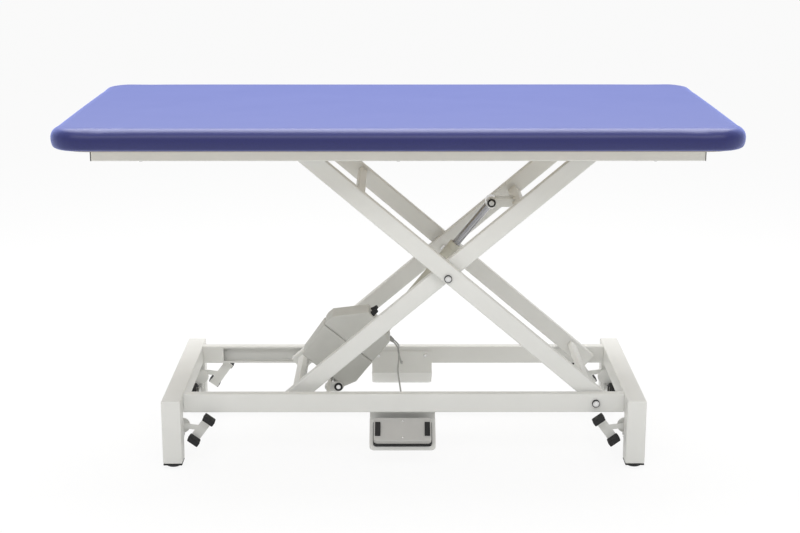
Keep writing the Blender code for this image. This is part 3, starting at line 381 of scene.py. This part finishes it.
def finished(name, shape, slot):
    """Makes the shape an object with a slot's finish and smooth faces between its sharp edges."""
    mesh = bpy.data.meshes.new(name)
    shape.to_mesh(mesh)
    shape.free()
    mesh.materials.append(finishes[slot])
    mesh.shade_smooth()
    mesh.set_sharp_from_angle(angle=SHARP_ANGLE)
    piece = bpy.data.objects.new(name, mesh)
    bpy.context.scene.collection.objects.link(piece)
    return piece


def carry(name, shape, slot, body, *replaced):
    """A finished piece that rides on a body and may stand for nodes."""
    piece = finished(name, shape, slot)
    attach(piece, body)
    if replaced:
        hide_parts(*replaced)
    return piece


print("helpers for pieces ready")

# %% [markdown]
# ## Cables of the foot switches
# Each foot switch is wired to the motor by a thin PVC cable. It leaves the motor's underside, hangs in
# a shallow curve and goes into the switch's bracket. The route is a smooth curve through a few points,
# given a round section. The cable stays where it is drawn; only its strain relief rides on the actuator.

# %% Cables
CABLE_DIAMETER = 0.005
CABLE_STEP = 0.013
CABLE_POINTS = (
    (-0.02781, 0.012, 0.32042),
    (-0.01384, 0.012, 0.30906),
    (-0.00042, 0.117, 0.23703),
    (0.01300, 0.2121, 0.16500),
    (0.01300, 0.2301, 0.16500),
)
CURVE_STEPS = 12
RELIEF_STEPS = 24
RELIEF_PROFILE = (
    (0.0026, 0.0002),
    (0.0058, 0.0002),
    (0.0056, 0.0030),
    (0.0040, 0.0130),
    (0.0034, 0.0160),
    (0.0026, 0.0160),
)


def smooth_route(points, step):
    """Points at an even step on a smooth curve through a cord's own points."""
    points = [Vector(point) for point in points]
    gaps = [(second - first).length for first, second in zip(points, points[1:])]
    slopes = [(second - first).normalized() for first, second in zip(points, points[1:])]
    headings = [slopes[0]]
    for index in range(1, len(slopes)):
        before = slopes[index - 1] * gaps[index]
        after = slopes[index] * gaps[index - 1]
        headings.append((before + after) / (gaps[index - 1] + gaps[index]))
    headings.append(slopes[-1])
    fine = []
    for index, gap in enumerate(gaps):
        for count in range(CURVE_STEPS):
            t = count / CURVE_STEPS
            start = points[index] * (2 * t**3 - 3 * t**2 + 1)
            end = points[index + 1] * (3 * t**2 - 2 * t**3)
            leaving = headings[index] * gap * (t**3 - 2 * t**2 + t)
            arriving = headings[index + 1] * gap * (t**3 - t**2)
            fine.append(start + end + leaving + arriving)
    fine.append(points[-1])
    total = sum((second - first).length for first, second in zip(fine, fine[1:]))
    count = max(2, round(total / step))
    wanted = [total * index / count for index in range(1, count)]
    route = [fine[0]]
    walked = 0.0
    for first, second in zip(fine, fine[1:]):
        length = (second - first).length
        while wanted and walked + length >= wanted[0]:
            route.append(first.lerp(second, (wanted.pop(0) - walked) / length))
        walked += length
    return route + [fine[-1]]


def tube_along(name, route, radius):
    """A mesh tube that follows the route, with closed ends."""
    curve = bpy.data.curves.new(name, "CURVE")
    curve.dimensions = "3D"
    curve.bevel_depth = radius
    curve.bevel_resolution = 4
    curve.use_fill_caps = True
    spline = curve.splines.new("POLY")
    spline.points.add(len(route) - 1)
    for point, spot in zip(spline.points, route):
        point.co = (*spot, 1.0)
    guide = bpy.data.objects.new(f"{name}_guide", curve)
    bpy.context.scene.collection.objects.link(guide)
    graph = bpy.context.evaluated_depsgraph_get()
    mesh = bpy.data.meshes.new_from_object(guide.evaluated_get(graph))
    bpy.data.objects.remove(guide)
    shape = bmesh.new()
    shape.from_mesh(mesh)
    bmesh.ops.remove_doubles(shape, verts=shape.verts, dist=1e-6)
    bmesh.ops.recalc_face_normals(shape, faces=shape.faces)
    return shape


for side, word in SIDES:
    route = smooth_route([(x, side * y, z) for x, y, z in CABLE_POINTS], CABLE_STEP)
    length = sum((second - first).length for first, second in zip(route, route[1:]))
    name = f"{word}_switch_lead"
    lead = finished(name, tube_along(name, route, CABLE_DIAMETER / 2), "grey_cable")
    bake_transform(lead)
    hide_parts(f"{word}_switch_cable")
    shape = turned(RELIEF_PROFILE, route[0], route[1] - route[0], RELIEF_STEPS, ring=True)
    carry(f"{word}_cable_relief", shape, "grey_cable", "actuator")
    print(name, "length", round(length, 4), "points", len(route))

# %% [markdown]
# ## The pad
# The top is foam on a board, covered in leatherette that is pulled round the edge and stapled below. It is
# firm and nearly flat, with a soft, full edge. A box with rounded corners and rims starts a little low,
# is remeshed evenly and blown up by a short cloth simulation whose underside is pinned, so the skin
# swells as foam pushes it. How far a point may move is capped, and the top is kept flat.

# %% Pad
PAD_VOXEL = 0.009
PAD_SIDE_INSET = -0.007
PAD_TOP_INSET = 0.004
PAD_UNDER = 0.001
PAD_EDGE = 0.028
PAD_CORNER = 0.090
PAD_MOST_MOVE = 0.006
PAD_TOP_SLACK = 0.0015
PAD_PINNED_HEIGHT = 0.008
PAD_FRAMES = 20
PAD_PRESSURE = 2.0
CORNER_SEGMENTS = 12
EDGE_SEGMENTS = 8
FIRST_PASSES = 3
LAST_PASSES = 5

low, high = (Vector(corner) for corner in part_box("pad"))
inset_low = Vector((low.x + PAD_SIDE_INSET, low.y + PAD_SIDE_INSET, low.z + PAD_UNDER))
inset_high = Vector((high.x - PAD_SIDE_INSET, high.y - PAD_SIDE_INSET, high.z - PAD_TOP_INSET))
shape = block(inset_low, inset_high, 0.0)
upright = [e for e in shape.edges if abs(e.verts[0].co.z - e.verts[1].co.z) > PAD_EDGE]
round_off(shape, upright, PAD_CORNER, CORNER_SEGMENTS)
rim = [e for e in shape.edges if abs(sum(abs(f.normal.z) for f in e.link_faces) - 1.0) < 0.1]
round_off(shape, rim, PAD_EDGE, EDGE_SEGMENTS)
pad_mesh = bpy.data.meshes.new("padded_top")
shape.to_mesh(pad_mesh)
shape.free()
pad = bpy.data.objects.new("padded_top", pad_mesh)
bpy.context.scene.collection.objects.link(pad)


def settle(piece):
    """Applies the piece's modifiers to its mesh."""
    graph = bpy.context.evaluated_depsgraph_get()
    mesh = bpy.data.meshes.new_from_object(piece.evaluated_get(graph))
    piece.modifiers.clear()
    piece.data = mesh


def relax(piece, passes):
    """Smooths the piece's skin a few times."""
    shape = bmesh.new()
    shape.from_mesh(piece.data)
    for _ in range(passes):
        bmesh.ops.smooth_vert(
            shape, verts=shape.verts, factor=0.5, use_axis_x=True, use_axis_y=True, use_axis_z=True
        )
    shape.to_mesh(piece.data)
    shape.free()


remesh = pad.modifiers.new("even_skin", "REMESH")
remesh.mode = "VOXEL"
remesh.voxel_size = PAD_VOXEL
settle(pad)
relax(pad, FIRST_PASSES)
print("pad skin points", len(pad.data.vertices))

# %% Blow the pad up
start_places = [vertex.co.copy() for vertex in pad.data.vertices]
pinned = pad.vertex_groups.new(name="stapled")
base_points = [v.index for v in pad.data.vertices if v.co.z < low.z + PAD_PINNED_HEIGHT]
pinned.add(base_points, 1.0, "REPLACE")
cloth = pad.modifiers.new("swell", "CLOTH")
cloth.settings.vertex_group_mass = "stapled"
cloth.settings.use_pressure = True
cloth.settings.uniform_pressure_force = PAD_PRESSURE
cloth.settings.effector_weights.gravity = 0.0
cloth.point_cache.frame_start = 1
cloth.point_cache.frame_end = PAD_FRAMES
for number in range(1, PAD_FRAMES + 1):
    bpy.context.scene.frame_set(number)
settle(pad)
bpy.context.scene.frame_set(1)
for vertex, start in zip(pad.data.vertices, start_places):
    move = vertex.co - start
    if move.length > PAD_MOST_MOVE:
        vertex.co = start + move * (PAD_MOST_MOVE / move.length)
    vertex.co.z = min(vertex.co.z, high.z - PAD_TOP_SLACK)
pad.vertex_groups.clear()
relax(pad, LAST_PASSES)
pad.data.materials.clear()
pad.data.materials.append(finishes["blue_upholstery"])
pad.data.shade_smooth()
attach(pad, "top")
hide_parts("pad")
print("pad top", round(max(v.co.z for v in pad.data.vertices), 4), "of", round(high.z, 4))

# %% [markdown]
# ## Plugs, rubber caps and feet
# Open tube ends are closed with pressed-in plastic plugs, pedals wear rubber caps so that a shoe grips
# them, and each leg stands on a rubber foot. A plug is a block with a tongue drawn from its back face.

# %% Plugs in the ends of the upper rails
PLUG_FACE = 0.003
PLUG_TONGUE = 0.012
PLUG_WALL = 0.0034
PLUG_GAP = 0.0003
PLUG_ROUNDING = 0.0012
RAIL_THICKNESS = 0.030

for side, word in SIDES:
    rail_low, rail_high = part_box(f"{word}_upper_rail")
    rail_outside = max(abs(rail_low[1]), abs(rail_high[1]))
    thick_low, thick_high = sorted((side * (rail_outside - RAIL_THICKNESS), side * rail_outside))
    for end, hand in ENDS:
        outer = rail_low[0] if end < 0 else rail_high[0]
        x_low, x_high = sorted((outer + end * PLUG_GAP, outer + end * PLUG_FACE))
        plug_low = (x_low, thick_low, rail_low[2])
        plug_high = (x_high, thick_high, rail_high[2])
        shape = block(plug_low, plug_high, PLUG_ROUNDING)
        back = max(shape.faces, key=lambda face: -end * face.normal.x * face.calc_area())
        bmesh.ops.inset_region(shape, faces=[back], thickness=PLUG_WALL - PLUG_ROUNDING)
        drawn = bmesh.ops.extrude_face_region(shape, geom=[back])
        tip = [item for item in drawn["geom"] if isinstance(item, bmesh.types.BMVert)]
        bmesh.ops.delete(shape, geom=[back], context="FACES_ONLY")
        bmesh.ops.translate(shape, vec=(-end * PLUG_TONGUE, 0.0, 0.0), verts=tip)
        bmesh.ops.recalc_face_normals(shape, faces=shape.faces)
        carry(f"{word}_{hand}_rail_plug", shape, "black_rubber", "top")
print("rail plugs 4")

# %% Rubber caps on the pedals
PEDAL_UPPER = Vector((0.111, 0.0, 0.023))
PEDAL_LOWER = Vector((0.062, 0.0, -0.044))
CAP_HALF_LENGTH = 0.0190
CAP_HALF_HEIGHT = 0.0085
CAP_FROM = 0.2707
CAP_TO = 0.3063
CAP_ROUNDING = 0.0030
TREAD_BORDER = 0.0012
TREAD_DEPTH = 0.0006
strip = PEDAL_UPPER - PEDAL_LOWER
lean = Matrix.Rotation(math.pi / 2 - math.atan2(strip.z, strip.x), 4, "Y")

for end, hand in ENDS:
    shaft = Vector(joints[f"{hand}_castor_pedal"]["pos_m"])
    turn = Matrix.Identity(4) if end < 0 else Matrix.Rotation(math.pi, 4, "Z")
    for side, word in SIDES:
        y_low, y_high = sorted((side * CAP_FROM, side * CAP_TO))
        for spot, height in ((PEDAL_UPPER, "upper"), (PEDAL_LOWER, "lower")):
            cap_low = (-CAP_HALF_LENGTH, y_low, -CAP_HALF_HEIGHT)
            cap_high = (CAP_HALF_LENGTH, y_high, CAP_HALF_HEIGHT)
            shape = block(cap_low, cap_high, CAP_ROUNDING)
            tread = max(shape.faces, key=lambda face: side * face.normal.y * face.calc_area())
            bmesh.ops.inset_region(shape, faces=[tread], thickness=TREAD_BORDER, depth=-TREAD_DEPTH)
            place = Matrix.Translation(shaft) @ turn @ Matrix.Translation(spot) @ lean
            bmesh.ops.transform(shape, matrix=place, verts=shape.verts)
            facing = word if end < 0 else ("rear" if side < 0 else "front")
            carry(f"{facing}_{hand}_{height}_pedal_cap", shape, "black_rubber", f"{hand}_castor_lever")
print("pedal caps 8")

# %% Feet
FOOT_PROFILE = (
    (0.0, 0.0),
    (0.0140, 0.0001),
    (0.0200, 0.0010),
    (0.0238, 0.0032),
    (0.0252, 0.0062),
    (0.0256, 0.0095),
    (0.0256, 0.0120),
    (0.0, 0.0120),
)
FLANGE_HALF = 0.0292
FLANGE_LOW = 0.0088
FLANGE_HIGH = 0.0138
FLANGE_ROUNDING = 0.0016
for side, word in SIDES:
    for end, hand in ENDS:
        node = f"{word}_{hand}_foot"
        foot_low, foot_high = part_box(node)
        spot = ((foot_low[0] + foot_high[0]) / 2, (foot_low[1] + foot_high[1]) / 2, 0.0)
        carry(f"{node}_rubber", turned(FOOT_PROFILE, spot, (0, 0, 1)), "black_rubber", "base", node)
        flange = block(
            (spot[0] - FLANGE_HALF, spot[1] - FLANGE_HALF, FLANGE_LOW),
            (spot[0] + FLANGE_HALF, spot[1] + FLANGE_HALF, FLANGE_HIGH),
            FLANGE_ROUNDING,
        )
        carry(f"{node}_flange", flange, "black_rubber", "base")
print("feet 4")

# %% [markdown]
# ## Castors
# A castor's wheel is a tyre pressed on a moulded hub with a raised boss. Both are rings turned round
# the axle. The tyre stands for the solid wheel, and the hub rides with it.

# %% Castor wheels
TYRE_HALF = (
    (0.0270, 0.0100),
    (0.0290, 0.0124),
    (0.0355, 0.0124),
    (0.0388, 0.0094),
    (0.0400, 0.0045),
)
HUB_HALF = (
    (0.0045, 0.0128),
    (0.0100, 0.0128),
    (0.0112, 0.0112),
    (0.0122, 0.0062),
    (0.0235, 0.0052),
    (0.0258, 0.0088),
    (0.0272, 0.0102),
)


def both_sides(half):
    """A half section and its mirror image, as one closed ring."""
    return [*half, *[(radius, -along) for radius, along in reversed(half)]]


for side, word in SIDES:
    for end, hand in ENDS:
        label = f"{word}_{hand}_castor"
        axle = joints[f"{label}_roll"]["pos_m"]
        tyre = turned(both_sides(TYRE_HALF), axle, (1, 0, 0), ring=True)
        carry(f"{label}_tyre", tyre, "black_rubber", f"{label}_wheel", f"{label}_wheel")
        hub = turned(both_sides(HUB_HALF), axle, (1, 0, 0), ring=True)
        carry(f"{label}_hub", hub, "grey_motor_plastic", f"{label}_wheel")
print("wheels 4")

# %% [markdown]
# ## Pivot bolts and pins
# The scissor turns on shoulder bolts whose round heads have a raised button in a groove. A thin black
# ring round each head's rim is painted shadow of the gap under the head. The actuator hangs on plain
# pins kept in place by black rings. All are turned, with the groove cut in the outline.

# %% Pivot bolts
BOLT_RADIUS = 0.008
HEAD_RADIUS = 0.0114
HEAD_HEIGHT = 0.008
SHANK_PLAY = 0.0001
SHANK_EDGE = 0.0006
GROOVE_OUTSIDE = 0.0086
GROOVE_INSIDE = 0.0070
GROOVE_DEPTH = 0.0024
GROOVE_TAPER = 0.0002
# The thin black ring round each bolt head is painted shadow of the gap under the head.
SHADOW_RING_INSIDE = 0.0096
SHADOW_RING_OUTSIDE = 0.0119
SHADOW_RING_HEIGHT = 0.0078
SHADOW_RING_EDGE = 0.0008
SHADOW_RING_PROFILE = (
    (SHADOW_RING_INSIDE, 0.0),
    (SHADOW_RING_OUTSIDE, 0.0),
    (SHADOW_RING_OUTSIDE, SHADOW_RING_HEIGHT - SHADOW_RING_EDGE),
    (SHADOW_RING_OUTSIDE - SHADOW_RING_EDGE, SHADOW_RING_HEIGHT),
    (SHADOW_RING_INSIDE, SHADOW_RING_HEIGHT),
)
NUT_OVERLAP = 0.0012
NUT_SIDES = 6
NUT_PROFILE = (
    (0.0, 0.0),
    (0.0125, 0.0),
    (0.0125, 0.0065),
    (0.0105, 0.0075),
    (0.0080, 0.0085),
    (0.0, 0.0085),
)


def bolt_profile(length):
    """The half outline of a bolt from its tail to its grooved head."""
    return (
        (0.0, 0.0),
        (BOLT_RADIUS - SHANK_EDGE, 0.0),
        (BOLT_RADIUS - SHANK_PLAY, SHANK_EDGE),
        (BOLT_RADIUS - SHANK_PLAY, length - HEAD_HEIGHT),
        (HEAD_RADIUS, length - HEAD_HEIGHT),
        (HEAD_RADIUS, length - 0.0014),
        (HEAD_RADIUS - 0.0009, length - 0.0005),
        (GROOVE_OUTSIDE, length - 0.0005),
        (GROOVE_OUTSIDE - GROOVE_TAPER, length - GROOVE_DEPTH),
        (GROOVE_INSIDE + GROOVE_TAPER, length - GROOVE_DEPTH),
        (GROOVE_INSIDE, length - 0.0006),
        (0.0064, length),
        (0.0, length),
    )


for side, word in SIDES:
    for place, body in (("centre", "outer_arms"), ("lower", "base")):
        node = f"{word}_{place}_pivot_bolt"
        bolt_low, bolt_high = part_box(node)
        tail = bolt_high[1] if side < 0 else bolt_low[1]
        spot = ((bolt_low[0] + bolt_high[0]) / 2, tail, (bolt_low[2] + bolt_high[2]) / 2)
        length = bolt_high[1] - bolt_low[1]
        shape = turned(bolt_profile(length), spot, (0, side, 0))
        carry(f"{node}_turned", shape, "zinc_plated_steel", body, node)
        seat = (spot[0], tail + side * (length - HEAD_HEIGHT), spot[2])
        # A thin black ring round the head's rim: painted shadow of the gap under the head.
        shape = turned(SHADOW_RING_PROFILE, seat, (0, side, 0), ring=True)
        carry(f"{word}_{place}_pivot_shadow_ring", shape, "black_rubber", body)
    bolt_low, bolt_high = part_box(f"{word}_centre_pivot_bolt")
    tail = bolt_high[1] if side < 0 else bolt_low[1]
    spot = Vector(joints["scissor_cross"]["pos_m"])
    spot.y = tail + side * NUT_OVERLAP
    nut = turned(NUT_PROFILE, spot, (0, -side, 0), NUT_SIDES)
    carry(f"{word}_centre_lock_nut", nut, "zinc_plated_steel", "outer_arms")
print("pivot bolts 4, shadow_rings 4 and lock nuts 2")

# %% Pins of the actuator and their rings
RING_PROFILE = (
    (0.0078, 0.0),
    (0.0135, 0.0),
    (0.0135, 0.0028),
    (0.0122, 0.0040),
    (0.0096, 0.0040),
    (0.0078, 0.0032),
)
PIN_NECK = 0.0076
PIN_RADIUS = 0.0099
PIN_EDGE = 0.0008
RING_SEAT = 0.0040
pin_low, pin_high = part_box("actuator_lower_pin")
foot_pin = Vector(joints["actuator_tilt"]["pos_m"])
length = pin_high[1] - pin_low[1]
pin_profile = (
    (0.0, 0.0),
    (PIN_NECK - PIN_EDGE, 0.0),
    (PIN_NECK, PIN_EDGE),
    (PIN_NECK, RING_SEAT),
    (PIN_RADIUS, RING_SEAT),
    (PIN_RADIUS, length - RING_SEAT),
    (PIN_NECK, length - RING_SEAT),
    (PIN_NECK, length - PIN_EDGE),
    (PIN_NECK - PIN_EDGE, length),
    (0.0, length),
)
shape = turned(pin_profile, (foot_pin.x, pin_low[1], foot_pin.z), (0, 1, 0))
carry("actuator_lower_pin_turned", shape, "zinc_plated_steel", "base", "actuator_lower_pin")

lift_line = Vector(joints["tube_slide"]["axis"])
across = Vector((-lift_line.z, 0.0, lift_line.x))
UPPER_PIN_REACH = 0.77655
UPPER_EAR_OUTSIDE = 0.0264
UPPER_PIN_BUTTON = ((0.0, 0.0), (0.0076, 0.0), (0.0076, 0.0046), (0.0068, 0.0054), (0.0, 0.0054))
upper_pin = foot_pin + lift_line * UPPER_PIN_REACH
for side, word in SIDES:
    lower_end = side * (abs(pin_low[1]) - RING_SEAT)
    shape = turned(RING_PROFILE, (foot_pin.x, lower_end, foot_pin.z), (0, side, 0), ring=True)
    carry(f"{word}_lower_pin_ring", shape, "black_rubber", "base")
    ear = (upper_pin.x, side * UPPER_EAR_OUTSIDE, upper_pin.z)
    shape = turned(RING_PROFILE, ear, (0, side, 0), ring=True)
    carry(f"{word}_upper_pin_ring", shape, "black_rubber", "inner_arms")
    shape = turned(UPPER_PIN_BUTTON, ear, (0, side, 0))
    carry(f"{word}_upper_pin_button", shape, "zinc_plated_steel", "inner_arms")
print("pins and rings 7")

# %% [markdown]
# ## Actuator
# The actuator is telescopic: a painted tube slides out of the motor housing, and a chromed rod out of
# the tube. Turned outlines make both round and give the tube its wiper groove near the end.

# %% Tube, rod and eye
TUBE_PROFILE = (
    (0.0128, 0.2000),
    (0.0197, 0.2000),
    (0.0197, 0.5780),
    (0.0187, 0.5785),
    (0.0187, 0.5815),
    (0.0197, 0.5820),
    (0.0197, 0.5970),
    (0.0182, 0.6000),
    (0.0128, 0.6000),
)
ROD_PROFILE = ((0.0, 0.5600), (0.0125, 0.5600), (0.0125, 0.7610), (0.0, 0.7610))
EYE_HALF = ((0.0, 0.0197), (0.0172, 0.0197), (0.0190, 0.0179))
shape = turned(TUBE_PROFILE, foot_pin, lift_line, ring=True)
carry("actuator_tube_turned", shape, "actuator_tube_paint", "actuator_tube", "actuator_tube")
shape = turned(ROD_PROFILE, foot_pin, lift_line)
carry("actuator_rod_turned", shape, "chrome", "actuator_rod", "actuator_rod")
shape = turned(both_sides(EYE_HALF), upper_pin, (0, 1, 0))
carry("actuator_rod_eye", shape, "zinc_plated_steel", "actuator_rod")
print("actuator tube, rod and eye")

# %% Plugs on the motor cover
SOCKET_PROFILE = (
    (0.0, -0.0020),
    (0.0090, -0.0020),
    (0.0090, 0.0070),
    (0.0076, 0.0090),
    (0.0066, 0.0200),
    (0.0050, 0.0240),
    (0.0, 0.0240),
)
SOCKET_ALONG = 0.2495
SOCKET_ABOVE = 0.0640
SOCKET_ASIDE = 0.022
SOCKET_SLOPE = (0.975, -0.222)
socket_way = lift_line * SOCKET_SLOPE[0] + across * SOCKET_SLOPE[1]
for side, word in SIDES:
    spot = foot_pin + lift_line * SOCKET_ALONG + across * SOCKET_ABOVE
    spot += Vector((0.0, side * SOCKET_ASIDE, 0.0))
    carry(f"{word}_motor_socket", turned(SOCKET_PROFILE, spot, socket_way), "black_rubber", "actuator")
print("motor sockets 2")

# %% [markdown]
# ## Screws
# Small screws show where pieces are fixed: under the upper rails, on the brackets and on the switch
# covers. One domed outline with a round recess serves them all, at two sizes.

# %% Screws
SCREW_PROFILE = (
    (0.0, 0.0014),
    (0.0024, 0.0014),
    (0.0027, 0.0034),
    (0.0046, 0.0031),
    (0.0060, 0.0018),
    (0.0065, 0.0),
    (0.0, 0.0),
)
SCREW_STEPS = 24
RAIL_SCREW_X = (-0.772, 0.0, 0.772)
BRACKET_SCREW_X = (-0.067, 0.093)
BRACKET_SCREW_Z = 0.187
COVER_SCREW_SCALE = 0.5
COVER_SCREW_ALONG = (0.030, 0.091)
COVER_TOP = 0.029
TRAY_BEND = (0.013, 0.2322, 0.1275)


def screw(name, spot, way, body, scale=1.0):
    """A domed screw on a surface, facing the given way."""
    profile = [(radius * scale, along * scale) for radius, along in SCREW_PROFILE]
    carry(name, turned(profile, spot, way, SCREW_STEPS), "zinc_plated_steel", body)


for side, word in SIDES:
    rail_low, rail_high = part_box(f"{word}_upper_rail")
    flange_low, flange_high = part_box(f"{word}_switch_bracket")
    inner_face = flange_high[1] if side < 0 else flange_low[1]
    rail_outside = max(abs(rail_low[1]), abs(rail_high[1]))
    for number, x in enumerate(RAIL_SCREW_X, 1):
        spot = (x, side * (rail_outside - RAIL_THICKNESS / 2), rail_low[2])
        screw(f"{word}_rail_screw_{number}", spot, (0, 0, -1), "top")
    for number, x in enumerate(BRACKET_SCREW_X, 1):
        spot = (x, inner_face, BRACKET_SCREW_Z)
        screw(f"{word}_bracket_screw_{number}", spot, (0, -side, 0), "base")
    up = Vector(joints[f"{word}_button_left"]["axis"])
    outward = Vector((0.0, side * up.z, -abs(up.y)))
    bend = Vector((TRAY_BEND[0], side * TRAY_BEND[1], TRAY_BEND[2]))
    for number, along in enumerate(COVER_SCREW_ALONG, 1):
        spot = bend + outward * along + up * COVER_TOP
        screw(f"{word}_cover_screw_{number}", spot, up, "base", COVER_SCREW_SCALE)
print("screws 14")

# %% [markdown]
# ## Floor and light
# The photograph is a cut-out on white. The floor shows itself white to the camera and to mirrors, and
# lets a part of its own shading through, so a faint shadow holds the table down. A wide soft lamp
# above lights the pad's top, a narrower one in front lights the frame and the band along the pad's
# front rim, and the pale room fills the rest. Mirrors see the room a little darker than the camera.

# %% Floor
FLOOR_HALF = 40.0
FLOOR_SHADING = 0.10
shape = bmesh.new()
bmesh.ops.create_grid(shape, x_segments=1, y_segments=1, size=FLOOR_HALF)
mesh = bpy.data.meshes.new("floor")
shape.to_mesh(mesh)
shape.free()
floor_paint = bpy.data.materials.new("white_floor")
floor_paint.use_nodes = True
tree = floor_paint.node_tree
tree.nodes.clear()
rays = add(tree, "ShaderNodeLightPath")
direct = rays.outputs["Is Camera Ray"]
mirrored = rays.outputs["Is Glossy Ray"]
seen = add(tree, "ShaderNodeMath", {0: direct, 1: mirrored}, operation="ADD")
seen = add(
    tree, "ShaderNodeMath", {0: seen.outputs[0], 1: rays.outputs["Is Transmission Ray"]}, operation="ADD"
)
share = add(tree, "ShaderNodeMath", {0: seen.outputs[0], 1: 1.0 - FLOOR_SHADING}, operation="MULTIPLY")
matte = add(tree, "ShaderNodeBsdfDiffuse", {"Color": linear("#f4f4f2")})
white = add(tree, "ShaderNodeEmission", {"Strength": 1.0})
surface = add(
    tree,
    "ShaderNodeMixShader",
    {0: share.outputs[0], 1: matte.outputs["BSDF"], 2: white.outputs["Emission"]},
)
add(tree, "ShaderNodeOutputMaterial", {"Surface": surface.outputs["Shader"]})
mesh.materials.append(floor_paint)
floor = bpy.data.objects.new("floor", mesh)
bpy.context.scene.collection.objects.link(floor)
print("floor", 2 * FLOOR_HALF, "m")

# %% Light
ROOM_STRENGTH = 0.60
MIRROR_STRENGTH = 0.75
UPPER_WATTS = 165.0
UPPER_PLACE = (0.0, 0.7, 3.1)
UPPER_TILT = -18.0
UPPER_SIZE = (4.0, 2.4)
FRONT_WATTS = 44.0
FRONT_PLACE = (0.0, -2.9, 3.1)
FRONT_TILT = 48.0
FRONT_SIZE = (4.0, 1.2)
room = bpy.data.worlds.new("pale_room")
bpy.context.scene.world = room
room.use_nodes = True
tree = room.node_tree
tree.nodes.clear()
rays = add(tree, "ShaderNodeLightPath")
mirror = add(
    tree, "ShaderNodeMath", {0: rays.outputs["Is Glossy Ray"], 1: MIRROR_STRENGTH}, operation="MULTIPLY"
)
diffuse = add(
    tree, "ShaderNodeMath", {0: rays.outputs["Is Diffuse Ray"], 1: ROOM_STRENGTH}, operation="MULTIPLY"
)
strength = add(tree, "ShaderNodeMath", {0: mirror.outputs[0], 1: diffuse.outputs[0]}, operation="MAXIMUM")
seen = rays.outputs["Is Camera Ray"]
fill = add(tree, "ShaderNodeBackground", {"Strength": strength.outputs[0]})
white = add(tree, "ShaderNodeBackground", {"Strength": 1.0})
mix = add(
    tree,
    "ShaderNodeMixShader",
    {0: seen, 1: fill.outputs["Background"], 2: white.outputs["Background"]},
)
add(tree, "ShaderNodeOutputWorld", {"Surface": mix.outputs["Shader"]})
for node in (fill, white):
    node.inputs["Color"].default_value = (1.0, 1.0, 1.0, 1.0)


def soft_lamp(name, place, tilt, size, watts):
    """A long soft lamp across the table, tilted about the table's length."""
    lamp = bpy.data.lights.new(name, "AREA")
    lamp.shape = "RECTANGLE"
    lamp.size = size[0]
    lamp.size_y = size[1]
    lamp.energy = watts
    holder = bpy.data.objects.new(name, lamp)
    holder.location = place
    holder.rotation_euler = (math.radians(tilt), 0.0, 0.0)
    bpy.context.scene.collection.objects.link(holder)


soft_lamp("upper_softbox", UPPER_PLACE, UPPER_TILT, UPPER_SIZE, UPPER_WATTS)
soft_lamp("front_softbox", FRONT_PLACE, FRONT_TILT, FRONT_SIZE, FRONT_WATTS)
print("room", ROOM_STRENGTH, "lamps", UPPER_WATTS, FRONT_WATTS, "W")
